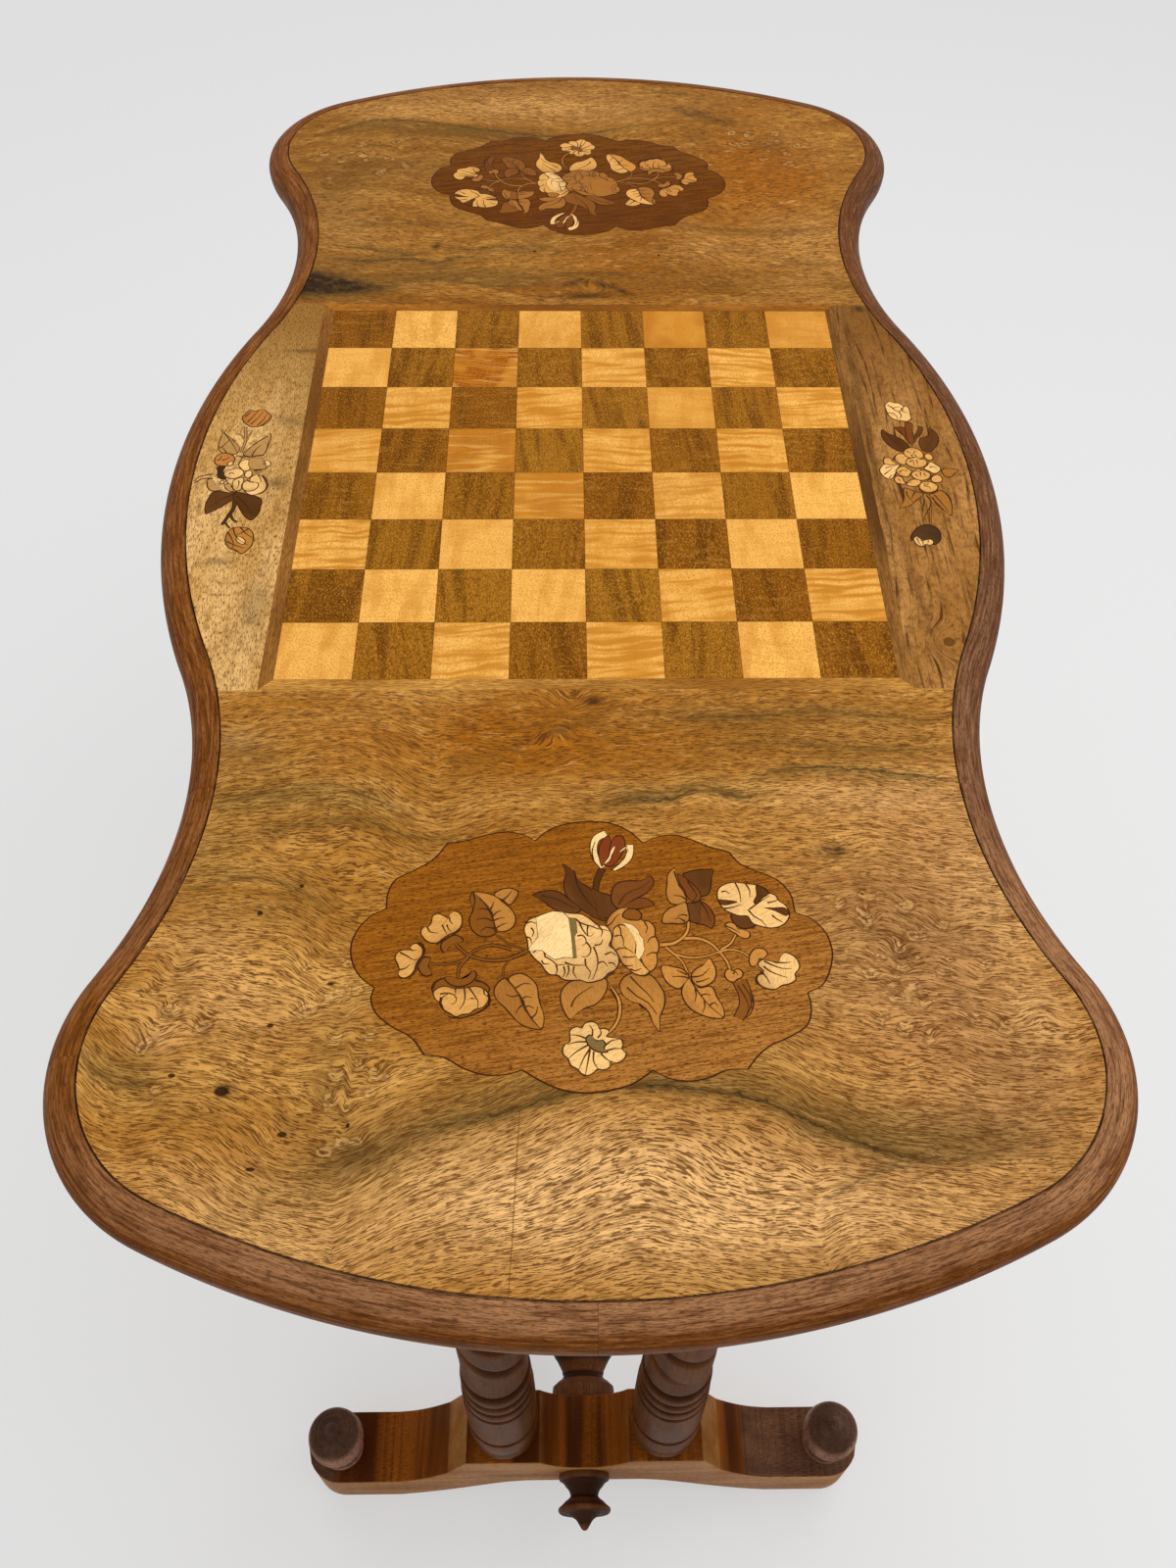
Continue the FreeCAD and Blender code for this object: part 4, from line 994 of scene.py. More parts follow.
def sideways(line):
    """Unit vectors square to a line, to its left."""
    along = np.gradient(line, axis=0)
    along /= np.linalg.norm(along, axis=1)[:, None]
    return np.stack([-along[:, 1], along[:, 0]], 1)


def ribbon(points, width, wood, level, taper=0.35, count=9):
    """Stem or engraved line: a strip along a smooth line, tapered towards its end."""
    line = curve_through(points, count)
    half = width / 2 * np.linspace(1, taper, count)[:, None] * sideways(line)
    rim = np.concatenate([line + half, (line - half)[::-1]])
    heart = np.concatenate([line, line[::-1]])
    return piece_patch(rim, heart, wood, level, kerf=0.02 if wood == "ink" else 0.7)


def sawn(outline, wood, level, dusk):
    """Piece with a smooth outline through points that is scorched on the side of dusk, an angle
    on the drawing or a dash for none."""
    count = 4 * len(outline)
    ring = np.asarray(outline[-2:] + outline + outline[:3], float)
    lengths = length_so_far(ring)
    at = np.linspace(lengths[2], lengths[len(outline) + 2], count, endpoint=False)
    rim = curve_at(ring, lengths, at)
    middle = (rim.min(axis=0) + rim.max(axis=0)) / 2
    points, faces, marks = piece_patch(rim, middle, wood, level)
    if dusk != "-":
        out = (rim - middle) / np.linalg.norm(rim - middle, axis=1)[:, None]
        side = math.radians(float(dusk))
        towards = out @ [math.cos(side), math.sin(side)]
        scorch = marks["scorch"].reshape(6, count)
        scorch[1:3] = np.clip(1.6 * towards - 0.4, 0, 1)
        scorch[3] = 0.6 * scorch[2]
    return points, faces, marks


# Kinds of stem that lie over the leaves
lifted = ("tulip", "bud")
# Drawing of the near bouquet. Each row of a cutting list is one piece. Stems: kind and width, then
# the line. Pieces: kind, level and the side that is scorched, then the outline. Patches: kind and
# level, then the outline
bouquet_stems = """
tulip 30: 830,98 802,114 791,150 798,192 818,224;
tulip 28: 903,142 903,170 894,196 872,218 850,232;
bud 46: 1206,622 1218,660 1216,700 1194,742;
dark_leaf 24: 818,226 800,270 794,320 806,392;
twig 10: 592,515 545,498 498,462;
twig 16: 590,518 530,545 460,545 415,528 378,492;
twig 13: 545,512 480,497 432,518 395,552 308,560;
twig 14: 418,536 393,572 390,604;
twig 9: 598,518 548,540 522,575 524,612;
bud_twig 16: 832,640 854,680 856,725 840,765 800,800;
bud_twig 17: 982,500 1020,495 1050,475 1066,450 1070,420;
bud_twig 16: 1050,478 1100,480 1130,495 1155,525 1176,560 1184,595;
bud_twig 13: 1148,528 1180,518 1205,520 1230,532 1246,548;
bud_twig 13: 998,508 1025,535 1045,560 1058,596;
bud_twig 13: 1022,532 1070,544 1110,540 1156,524;
bud_twig 14: 1160,518 1190,496 1208,466;"""
bouquet_pieces = """
dark_leaf 2 200: 692,210 702,240 696,290 703,325 725,355 760,385 800,412 822,418 812,375 800,330 775,296
    745,272 730,240;
dark_leaf 3 270: 602,322 630,310 665,305 690,314 715,338 750,380 730,392 690,386 655,366 630,342;
dark_leaf 2 -: 782,300 808,312 845,330 862,366 830,408 806,410 790,360;
red_leaf 4 250: 840,318 850,290 870,276 900,272 935,272 966,257 973,268 966,300 948,320 928,334 890,356
    862,376 846,362;
red_leaf 3 250: 858,372 890,352 925,334 948,337 966,350 973,360 950,371 920,377 890,374;
twig 2 90: 420,309 413,335 424,375 415,400 416,425 427,450 450,468 475,470 498,458 490,420 480,385
    460,350 440,328;
left_leaf 3 200: 424,311 460,313 495,327 515,345 540,370 555,400 552,430 532,450 505,452 492,425 482,388
    462,352;
left_leaf 2 0: 485,320 512,299 540,297 562,310 553,340 537,360 515,344;
low_leaf 2 0: 502,625 494,650 500,672 525,702 550,732 574,757 604,770 636,773 612,744 588,705 570,660
    548,615 524,606;
pale_leaf 3 200: 538,603 570,590 600,605 620,630 626,665 632,695 641,725 641,755 636,772 612,744 588,705
    570,660;
foot_leaf 2 90: 713,744 697,720 685,680 690,645 712,620 760,610 824,615 822,648 812,670 790,695 755,710
    728,730;
pale_leaf 2 100: 870,605 900,590 950,598 975,630 989,665 987,700 973,735 966,784 950,755 938,720 915,697
    885,684 864,662 856,636;
tan_leaf 3 20: 1036,226 1016,250 1010,285 1007,325 1020,358 1050,362 1068,352 1070,335 1058,308
    1046,278;
tan_leaf 4 270: 990,425 992,400 1010,375 1040,360 1066,351 1073,380 1071,420 1050,430 1020,428;
red_leaf 3 180: 1046,250 1075,268 1100,295 1113,320 1111,346 1092,354 1074,340 1062,310 1050,280;
dark_leaf 2 270: 1060,252 1080,240 1125,232 1158,235 1151,265 1147,298 1136,325 1112,334 1096,300
    1074,270;
dark_leaf 2 -: 1071,352 1095,352 1110,346 1108,385 1100,428 1074,421 1069,385;
red_leaf 2 300: 1096,352 1116,350 1140,375 1151,405 1148,430 1140,446 1116,434 1090,428 1090,385;
group_leaf 2 0: 980,570 1020,572 1045,580 1063,607 1048,632 1030,648 1010,641 990,620 981,595;
group_leaf 3 180: 1065,605 1080,580 1105,565 1126,544 1136,562 1143,590 1135,620 1115,636 1090,642
    1070,626;
group_leaf 2 200: 1040,635 1060,610 1085,640 1125,638 1140,675 1156,715 1153,741 1125,743 1090,733
    1060,715 1040,685 1034,655;
calyx 4 -: 1163,596 1175,580 1190,586 1204,580 1220,592 1216,610 1202,618 1190,628 1170,620;
calyx 4 -: 1238,560 1244,530 1262,512 1284,512 1298,528 1290,545 1270,552 1256,575 1244,576;
calyx 4 -: 1176,432 1190,422 1206,428 1216,446 1236,450 1252,462 1246,480 1228,480 1208,466 1190,452;
tulip_heart 4 200: 816,222 806,190 806,150 820,118 838,104 846,130 842,170 828,205;
tulip_heart 5 0: 826,222 836,180 844,135 858,108 878,104 890,125 884,165 862,205 842,224;
tulip 7 -: 822,216 838,186 850,150 858,142 852,172 836,206;
tulip 7 -: 868,172 880,152 896,146 884,162;
peony 3 180: 822,425 832,400 850,380 870,368 892,365 915,385 935,414 955,418 970,440 971,470 978,488
    980,510 972,535 972,560 962,582 940,596 905,590 870,560 840,500 832,460;
twig 4 90: 872,402 880,380 902,371 924,380 933,400 926,414 902,416 884,412;
peony_heart 5 200: 862,428 885,434 905,465 913,500 912,535 922,542 930,568 948,590 938,601 912,602
    885,582 866,560 848,520 836,500 842,465 846,440;
rose 4 300: 593,517 587,478 578,440 590,411 616,398 642,388 665,380 695,383 722,387 752,390 776,406
    800,428 825,433 838,450 842,475 834,502 850,517 860,540 859,566 846,586 828,596 815,612 790,622
    768,626 745,618 722,619 697,616 678,601 655,598 640,582 630,564 612,546;
round_flower 4 -: 712,796 712,776 730,763 746,767 755,753 776,747 792,755 798,769 815,769 826,777
    818,792 838,799 858,803 865,818 862,834 873,850 866,866 846,878 828,874 826,890 808,900 790,898
    778,908 762,917 744,910 734,898 714,884 706,864 694,852 691,834 698,819 710,812;
round_heart 7 270: 758,798 768,789 788,806 810,808 816,820 812,834 821,844 802,847 780,840 764,824;
left_flower 4 300: 272,455 277,437 292,432 302,415 305,394 318,385 335,390 355,399 361,385 374,377
    388,385 397,408 394,432 380,450 360,462 340,477 320,491 298,487 282,473;
left_flower 4 0: 202,535 207,520 225,509 244,507 252,491 266,487 282,500 286,522 276,544 268,565 262,585
    248,602 230,607 216,596 218,580 211,560;
twig 3 90: 314,640 322,618 348,604 400,612 445,610 470,622 486,642 478,660 400,655 330,662;
left_flower 4 90: 320,650 345,632 380,637 420,635 445,632 470,642 482,657 481,685 467,702 448,708
    430,723 405,727 390,733 372,722 352,708 345,690 326,672;
twig 5 270: 334,492 350,472 380,460 403,481 388,490 368,492 356,508 346,524 335,510;
twig 5 180: 271,560 288,536 307,535 305,565 316,596 296,601 278,586;
twig 5 90: 350,604 370,600 395,611 420,602 440,581 446,592 440,612 420,630 395,636 370,630;
wedge 3 -: 1198,395 1225,390 1250,400 1262,425 1273,433 1252,446 1228,447 1210,436;
right_flower 4 -: 1160,330 1167,302 1190,286 1215,280 1250,284 1285,290 1312,304 1324,320 1342,330
    1348,346 1368,366 1377,390 1368,420 1345,440 1315,446 1285,440 1262,430 1247,405 1220,402 1200,393
    1180,380 1166,357;
wedge 6 -: 1284,292 1310,304 1322,320 1300,340 1274,362 1270,356 1280,330;
wedge 6 -: 1163,346 1190,345 1222,353 1200,361 1178,364 1165,356;
wedge 6 -: 1300,374 1330,373 1364,374 1377,390 1365,403 1345,394 1325,382;
right_flower 5 200: 1262,565 1275,552 1300,555 1325,560 1335,540 1346,527 1368,534 1385,555 1387,580
    1373,600 1372,620 1352,634 1328,640 1308,652 1285,650 1264,638 1255,618 1262,602 1276,592;"""
bouquet_patches = """
patch 8: 614,401 642,388 665,380 695,383 713,404 722,470 728,543 700,541 672,549 650,534 632,517 592,517
    604,492 620,470;
peony_edge 6: 872,420 900,428 918,446 924,466 935,478 934,502 936,518 928,536 917,552 908,540 912,500
    902,466 886,440;
bar 9: 711,404 734,406 738,455 730,470 736,541 724,544 720,470;"""
# Saw cuts across the pieces, and dark edges, where the sand was hottest, with their widths
leaf_cuts = """
494,452 490,420 480,385 460,350 430,318; 485,414 460,404 436,410; 490,440 468,436 450,450; 474,376 455,370
440,374; 490,412 508,404 522,404; 486,398 496,384 512,378; 478,374 484,358 487,346; 496,440 512,428
528,422; 515,340 530,325 540,308; 425,315 430,345 426,374; 528,606 565,655 582,700 606,742 632,770;
568,662 552,668 530,660; 580,694 566,708 560,722; 574,676 590,668 606,672; 582,704 598,698 612,706;
558,640 585,625 604,628; 604,738 618,722 622,700; 718,702 728,676 750,656 780,636; 890,604 915,636 942,666
955,690; 880,640 905,668 938,690 962,728; 1036,240 1046,280 1060,312 1070,345; 1070,345 1050,330 1030,328;
1060,420 1040,408 1028,412; 1068,400 1052,396 1036,404; 1075,275 1090,305 1100,330 1086,350; 1062,612
1040,606 1012,606; 1055,600 1040,592 1026,586; 1068,608 1095,604 1122,580; 1080,625 1100,620 1120,612;
1064,616 1084,656 1114,702 1150,738; 1076,645 1078,665 1072,690; 1090,668 1106,664 1120,668; 1100,684
1100,706 1092,724; 1114,700 1130,692 1138,704; 1200,636 1215,668 1226,700 1216,738; 1214,632 1230,664
1234,700; 730,235 740,290 770,345 800,385; 630,325 680,340 730,372; 862,360 890,318 930,300 962,275;
1110,352 1124,378 1136,420; 1190,600 1196,590 1204,604; 1180,436 1200,446 1222,462"""
flower_cuts = """
732,408 755,428 775,431 792,442 812,445 836,452; 770,430 767,450 770,470; 744,420 756,450 775,470 787,460;
738,468 752,465 763,480 762,495 751,500; 765,490 777,510 775,526 760,540 749,536; 785,505 795,535 797,560
790,590 780,614; 788,500 807,495 812,480; 760,545 762,570 775,590 768,612; 700,556 720,565 745,567
764,566; 727,570 725,590 735,610; 710,566 712,585 704,606; 797,560 812,555 826,572; 818,532 838,524
852,536; 828,560 842,560 850,574; 640,522 644,540 662,548 676,565 708,562; 632,550 640,562 656,560;
675,566 678,585 672,598; 697,570 700,590 694,606; 584,424 600,418 616,424; 600,438 608,450 604,470;
588,470 598,474 602,492; 800,432 812,452 808,470; 860,432 867,447 867,465 875,482 872,500 884,512; 848,470
862,466 874,473; 846,520 864,510 882,512 902,526; 870,540 890,541 912,538; 868,566 884,570 900,568;
922,546 932,570 948,590; 938,420 946,440 940,460; 970,470 954,476 944,492; 974,528 956,526 940,536;
824,436 840,424 852,404 866,392; 890,580 905,586 924,578; 760,802 736,792 714,790; 760,812 735,812
706,820; 764,822 732,842 708,864; 770,832 752,862 738,896; 780,842 780,874 792,896; 800,848 812,862
828,874; 816,840 836,834 862,834; 812,824 830,810 852,804; 776,795 778,776 770,760; 792,800 802,786
798,770; 770,836 764,870 756,912; 292,432 300,449 326,455; 336,426 343,442 352,458; 350,425 355,440
364,450; 356,400 360,416 368,424; 217,520 236,530 262,545 272,543; 217,578 234,574 250,560; 244,508
256,514 266,512; 342,658 366,655 384,662 390,682 376,692; 385,638 386,658; 410,640 414,665 410,690
400,708; 424,638 440,662 452,684 450,704; 345,690 350,668 366,657; 430,672 444,674; 466,640 470,660
480,668; 1220,284 1228,306 1232,332 1232,352; 1252,288 1262,312 1260,336; 1176,316 1190,314 1200,324;
1180,376 1206,371 1232,362; 1252,380 1266,402 1290,420 1302,442; 1256,378 1290,352 1322,330; 1312,356
1330,352 1346,346; 1322,400 1338,416 1352,424; 1284,557 1306,570 1336,582 1362,582; 1280,574 1300,592
1325,604 1346,612; 1270,590 1286,612 1294,632; 1326,562 1346,563 1362,560; 842,234 866,214 886,186
898,156; 790,200 786,165 796,128"""
bouquet_edges = """
7: 322,492 342,480 366,464 386,448 396,430;
12: 270,488 286,505 284,535 272,562 266,586 250,604;
8: 480,660 486,688 468,708 432,727 396,736 366,728;
9: 346,668 344,690 352,706;
9: 318,640 328,618 352,606;
8: 440,614 466,622 486,642;
7: 1280,596 1258,606 1254,626 1270,642;
6: 1237,660 1241,695 1227,730 1206,746;
5: 832,642 850,682 850,722;
5: 900,596 930,604 950,598;
7: 846,588 830,600 816,614;
5: 912,696 936,716 950,756 965,782;
4: 606,524 616,516 592,514;"""


def drawn(corner, units, choice, stems, pieces, patches, cuts, edges):
    """All pieces of a drawing with its corner and its units to the millimetre. Choice names the
    wood of each kind, cuts are levels with their lines, and edges have a width for each line."""
    at, unit = sheet_of(*corner, units), 1 / units
    laid = [ribbon(at(*line), float(width) * unit, choice[kind], 3 if kind in lifted else 1,
                   taper=0.7, count=14) for (kind, width), line in cutting_list(stems)]
    laid += [sawn(at(*outline), choice[kind], int(level), dusk)
             for (kind, level, dusk), outline in cutting_list(pieces)]
    for (kind, level), outline in cutting_list(patches) if patches else ():
        rim = np.array(at(*outline))
        laid.append(piece_patch(rim, rim.mean(axis=0), choice[kind], int(level), kerf=0.5))
    laid += [ribbon(at(*line), cut_width, "ink", level, count=7)
             for level, lines in cuts for _, line in cutting_list(lines)]
    laid += [ribbon(at(*line), float(width) * unit, "ink", 7, count=10)
             for (width,), line in cutting_list(edges)]
    return laid


def bouquet(choice):
    """The drawn bouquet in one choice of woods."""
    corner_x, corner_y = cartouche_corner
    return drawn((corner_x, corner_y - cartouche_y), drawing_units, choice, bouquet_stems,
                 bouquet_pieces, bouquet_patches, [(5, leaf_cuts), (8, flower_cuts)],
                 bouquet_edges)


def joined_mesh(name, parts, weld=0.002):
    """One mesh from parts, each its points, its faces and its marks."""
    points, faces, marks, start = [], [], {}, 0
    for corners, sides, carried in parts:
        points.append(corners)
        faces += [[start + corner for corner in side] for side in sides]
        for label, values in carried.items():
            marks.setdefault(label, []).append(values)
        start += len(corners)
    joined = {label: np.concatenate(values) for label, values in marks.items()}
    return closed_mesh(name, np.concatenate(points), faces, joined, weld=weld)


def picture_mesh(name, laid, turn_round=False):
    """One mesh from the sawn pieces, each a hair higher or lower than the last, turned half round
    the table's middle where asked."""
    facing = np.array([-1, -1, 1] if turn_round else [1, 1, 1])
    return joined_mesh(name, [(corners * facing + [0, 0, 0.0005 * (order % 11)], sides, carried)
                              for order, (corners, sides, carried) in enumerate(laid)])


def paint_marquetry(tree):
    """Each piece's own wood with fine grain, scorched brown where it is shaded, and a dark kerf
    round it."""
    grain = grained(attribute(tree, "cut", "Vector"), 0.8, 2.6, width=0.3, share=0.42)
    wood = attribute(tree, "wood", "Color")
    colour = coats(
        blended(ramped(grain["Tone"], 0.3, 0.7, 0.0, 0.22), wood, (150, 96, 48)),
        (ramped(grain["Lines"], 0.5, 0.8, 0.0, 0.28), (120, 72, 32)),
        (times(grain["Pores"], 0.3), (92, 52, 22)),
        (times(attribute(tree, "scorch"), 0.6), (122, 72, 30)),
        (attribute(tree, "kerf"), (54, 24, 6)))
    rough = ramped(grain["Lines"], 0.2, 0.8, 0.38, 0.48)
    return colour, rough, times(grain["Pores"], -1.0)


marquetry_wood = finish("marquetry_woods", paint_marquetry, depth=0.00004)
# Wood of each kind of piece in the near and in the far bouquet
choices = {"dark_leaf": ("umber", "brown"), "red_leaf": ("russet", "buff"),
           "twig": ("brown", "buff"), "bud_twig": ("honey", "buff"), "tan_leaf": ("tan", "buff"),
           "left_leaf": ("tan", "straw"), "low_leaf": ("buff", "honey"),
           "foot_leaf": ("tan", "straw"), "pale_leaf": ("tan", "straw"),
           "group_leaf": ("honey", "brown"), "calyx": ("honey", "buff"),
           "tulip": ("white", "cream"), "tulip_heart": ("red", "russet"),
           "peony": ("honey", "straw"), "peony_heart": ("straw", "cream"),
           "peony_edge": ("white", "cream"), "rose": ("cream", "buff"), "patch": ("white", "buff"),
           "bar": ("grey", "buff"), "round_flower": ("cream", "straw"),
           "round_heart": ("grey", "brown"), "bud": ("brown", "russet"),
           "left_flower": ("straw", "honey"), "right_flower": ("cream", "straw"),
           "wedge": ("umber", "umber")}
for order, end_name in enumerate(("near", "far")):
    laid = bouquet({kind: pair[order] for kind, pair in choices.items()})
    settle(picture_mesh("bouquet_" + end_name + "_laid", laid, end_name == "far"),
           marquetry_wood, "marquetry_wood", "bouquet_" + end_name)

# ---------------------------------------------------------------------------------------------
# Sprays: a tall spray of flowers in each side veneer, made as the bouquets are and let straight
# into the walnut. The two are different.
spray_units = 9.0
left_stems = """
leaf 22: 366,214 378,290 384,360 372,450;
leaf 14: 384,345 360,300 332,276;
leaf 14: 392,340 400,290 410,250;
stalk 28: 396,870 398,930 378,1000 352,1075;
stalk 20: 388,985 408,1030 436,1054;
stalk 16: 366,1050 384,1080 402,1102;"""
left_pieces = """
tulip 3 180: 345,90 372,52 400,62 430,50 460,48 480,72 502,95 512,115 505,150 478,195 440,215 400,215
    370,195 345,165 332,130;
leaf 2 0: 236,238 250,270 290,310 320,345 350,385 364,420 355,455 335,470 300,460 260,455 238,430
    228,390 228,340 234,290;
leaf 2 200: 521,268 532,310 525,370 520,430 505,475 470,480 430,490 385,468 385,450 420,400 460,350
    500,305;
tulip 3 -: 225,520 232,480 260,455 300,455 335,478 348,510 340,545 310,570 270,572 238,556;
stalk 3 -: 252,580 275,565 300,575 295,610 300,650 322,690 295,690 265,665 258,620;
petal 4 -: 372,560 385,525 410,508 432,515 437,560 445,605 420,620 395,600;
petal 5 200: 296,640 305,610 340,600 365,588 400,600 418,640 400,665 380,680 345,685 315,672;
petal 4 270: 362,700 380,680 415,670 425,700 420,740 415,785 395,792 370,770 360,735;
petal 4 0: 468,655 500,642 526,662 550,700 563,740 555,790 525,815 490,829 455,812 436,780 450,720;
petal 6 270: 420,720 440,700 480,708 512,722 516,750 495,785 455,795 425,775 418,745;
petal 4 -: 522,520 545,520 562,545 555,575 535,572 525,545;
petal 7 -: 418,640 428,615 450,608 465,630 462,665 442,681 424,668;
petal 6 -: 305,550 315,532 335,528 345,545 335,568 315,572;
leaf 3 -: 212,690 225,680 245,700 270,735 300,765 312,780 285,790 250,790 225,765 214,730;
petal 6 -: 284,712 298,698 315,705 314,725 298,733;
patch 3 -: 315,735 345,722 365,755 378,795 350,792 325,765;
dark_leaf 2 -: 395,790 360,800 300,788 262,795 240,850 232,900 238,960 248,985 290,960 340,915 375,880
    402,860;
dark_leaf 3 -: 385,800 420,800 470,820 520,835 545,855 552,930 540,1000 510,1040 480,1020 440,960
    410,900 385,860;
bud 3 180: 420,1095 460,1090 505,1100 535,1135 546,1180 545,1240 525,1280 495,1310 465,1285 420,1265
    395,1230 385,1180 392,1130;
petal 5 -: 450,1165 480,1175 505,1210 500,1235 470,1225 448,1200;"""
left_patches = """
patch 6: 427,505 512,498 520,560 545,575 530,600 470,605 450,600 428,560;"""
left_cuts = """
352,120 372,85 384,64; 372,170 400,115 424,60; 395,190 430,130 455,70; 435,202 468,140 478,90; 458,205
490,150 506,115; 243,262 300,350 348,445; 240,412 262,385 288,335; 290,458 272,425 250,396; 510,300
450,362 392,456; 440,480 450,440 482,380; 330,642 348,630 360,648; 440,690 452,706 482,722; 395,700
400,740 392,770; 500,652 520,690 524,720; 245,522 262,502 262,480; 272,522 300,506 312,490; 420,1095
435,1150 470,1200 522,1240; 460,1095 500,1150 542,1182; 392,1130 420,1180 440,1230 435,1268; 400,1210
450,1240 505,1262; 505,1108 470,1140 440,1162; 440,1268 470,1290 494,1308; 236,642 200,650 165,662
135,706; 244,680 185,684 140,722; 395,812 330,850 262,930; 402,832 460,900 510,990"""
left_edges = """
11: 472,612 510,607 550,590;
6: 476,630 515,624 545,610;
10: 215,712 228,765 256,790 302,784;
9: 526,655 552,692 568,740 556,792 530,818;
7: 348,478 372,484 432,492 512,476;
6: 392,470 380,520 366,560;
9: 320,694 340,724 352,730;"""
right_stems = """
leaf 15: 366,1095 352,1160 346,1210 336,1258;"""
right_pieces = """
dark_leaf 2 -: 185,415 205,445 240,470 280,500 310,540 325,580 300,622 255,625 215,590 180,530 168,480
    172,440;
stalk 3 -: 325,395 345,345 362,350 366,440 356,520 340,580 322,520 318,440;
stalk 2 -: 255,402 290,394 328,400 332,470 337,560 322,550 312,500 288,440;
dark_leaf 3 -: 405,385 428,395 425,440 390,490 350,550 354,510 375,460 395,420;
dark_leaf 2 180: 470,400 495,430 512,480 505,540 475,590 435,632 400,622 385,580 385,530 400,500 440,480
    462,450;
cream 4 -: 232,180 262,150 290,160 320,165 345,190 370,200 380,230 378,280 375,320 350,345 320,342
    285,335 250,310 235,270 230,225;
leaf 2 -: 475,795 500,775 540,775 582,795 555,820 520,855 490,850 478,825;
leaf 2 0: 235,945 220,1020 205,1080 182,1120 230,1110 280,1070 320,1030 342,1000 290,975 270,960;
leaf 2 180: 370,1000 400,985 440,965 475,1010 488,1070 485,1130 462,1188 440,1150 410,1100 385,1050;
cream 4 -: 110,800 125,760 150,735 190,745 240,745 225,780 195,840 165,875 135,860 118,830;
bloom 3 -: 145,710 160,680 190,680 205,710 222,742 190,752 155,745;
bloom 4 200: 215,700 230,655 260,640 290,650 302,680 290,720 270,745 240,738;
bloom 5 90: 275,640 295,600 330,585 370,600 395,640 390,680 360,692 325,690 300,682;
bloom 3 -: 250,920 275,880 310,870 345,890 330,922 310,936 275,936;
bloom 6 270: 275,720 295,690 320,682 345,668 370,690 405,705 400,745 370,772 340,778 305,768;
bloom 4 -: 395,660 415,640 440,650 448,690 430,706 405,696;
cream 5 -: 375,782 400,745 425,715 455,740 478,775 462,810 430,825 400,802;
bloom 5 200: 205,800 225,770 260,755 290,785 305,800 290,830 270,855 240,850 215,830;
bloom 6 90: 290,830 310,800 345,785 385,795 410,830 395,865 350,886 310,872;
bloom 4 -: 185,880 200,845 235,850 245,890 250,915 220,916 195,905;
bloom 4 -: 400,870 420,840 450,830 472,860 465,895 430,906 405,895;
bloom 5 270: 320,945 335,905 370,890 410,900 435,930 425,965 400,985 360,991 330,970;
cream 8 -: 318,662 335,650 352,662 345,676 325,676;
cream 8 -: 322,790 345,782 360,792 345,801;
cream 8 -: 352,914 368,906 384,914 366,923;
black 3 -: 205,1380 225,1320 265,1275 310,1255 350,1265 378,1300 382,1350 365,1400 335,1425 300,1422
    260,1404 225,1398;
cream 5 -: 218,1375 235,1355 255,1375 275,1390 300,1384 325,1384 332,1408 315,1428 285,1424 262,1440
    235,1430 222,1405;"""
right_cuts = """
262,198 280,215 300,205 322,205; 275,215 290,240 318,250 326,226; 235,262 262,262 288,292 290,332; 330,215
336,250 362,262; 310,252 318,290 302,322; 348,196 336,230; 250,182 262,206; 150,772 185,762 215,757;
135,832 165,802 192,772; 160,862 182,832; 300,622 320,642; 348,620 336,645; 300,722 320,702 325,748;
346,700 345,742; 225,812 250,792 276,802; 320,830 330,852; 350,810 346,850; 370,820 376,850; 410,770
430,760 452,776; 350,930 380,940 386,962; 210,870 225,892; 240,1368 245,1400 255,1430; 262,1385 270,1410
265,1434; 302,1390 296,1412; 200,450 240,540 282,600; 220,482 262,552 302,600; 250,502 292,562; 480,422
470,500 430,602; 240,980 250,1040 270,1070; 290,985 262,1040; 400,1010 430,1080 460,1160; 385,1030
402,1092 442,1152; 352,1012 370,1050 364,1100 335,1150 306,1212; 336,1050 318,1110 306,1160"""
right_edges = """
8: 206,705 222,665 246,645;
7: 318,962 345,992 390,1000 430,978;
8: 238,862 250,900 274,904 284,880;
6: 232,950 216,1030 184,1118;
8: 412,838 398,870 380,884;
7: 440,966 478,1010 490,1070;
8: 204,1396 210,1370 226,1330;
7: 245,745 215,784 204,805;"""
left_choice = {"leaf": "olive", "stalk": "black", "tulip": "orange", "petal": "cream",
               "patch": "olive", "dark_leaf": "umber", "bud": "tan"}
right_choice = {"leaf": "buff", "stalk": "russet", "dark_leaf": "umber", "cream": "cream",
                "bloom": "straw", "black": "black"}
left_spray = drawn((-265.0, 70.0), spray_units, left_choice, left_stems, left_pieces,
                   left_patches, [(8, left_cuts)], left_edges)
right_spray = drawn((180.0, 90.0), spray_units, right_choice, right_stems, right_pieces,
                    "", [(8, right_cuts)], right_edges)
for side_name, laid in (("left", left_spray), ("right", right_spray)):
    settle(picture_mesh("spray_" + side_name + "_laid", laid), marquetry_wood, "marquetry_wood",
           "spray_" + side_name)

# ---------------------------------------------------------------------------------------------
# Chessboard: 64 squares of veneer, honey coloured with ripple figure and brown with the grain
# along the table, cut from different strips, so no two are alike. The near left one is light.
square = 44.5
board_half = 4 * square
joint_width = 0.3
plain_squares = ((0, 0), (0, 6), (1, 1), (1, 3), (2, 6), (3, 1), (6, 0), (7, 1), (3, 7))
rippled_squares = ((0, 2), (0, 4), (1, 5), (1, 7), (2, 4), (3, 3), (4, 4), (4, 6), (5, 3), (5, 7),
                   (6, 6), (6, 2), (5, 1))
brown_squares = {(6, 2): 2.4, (4, 2): 1.0, (7, 5): 0.7, (3, 3): 0.7}


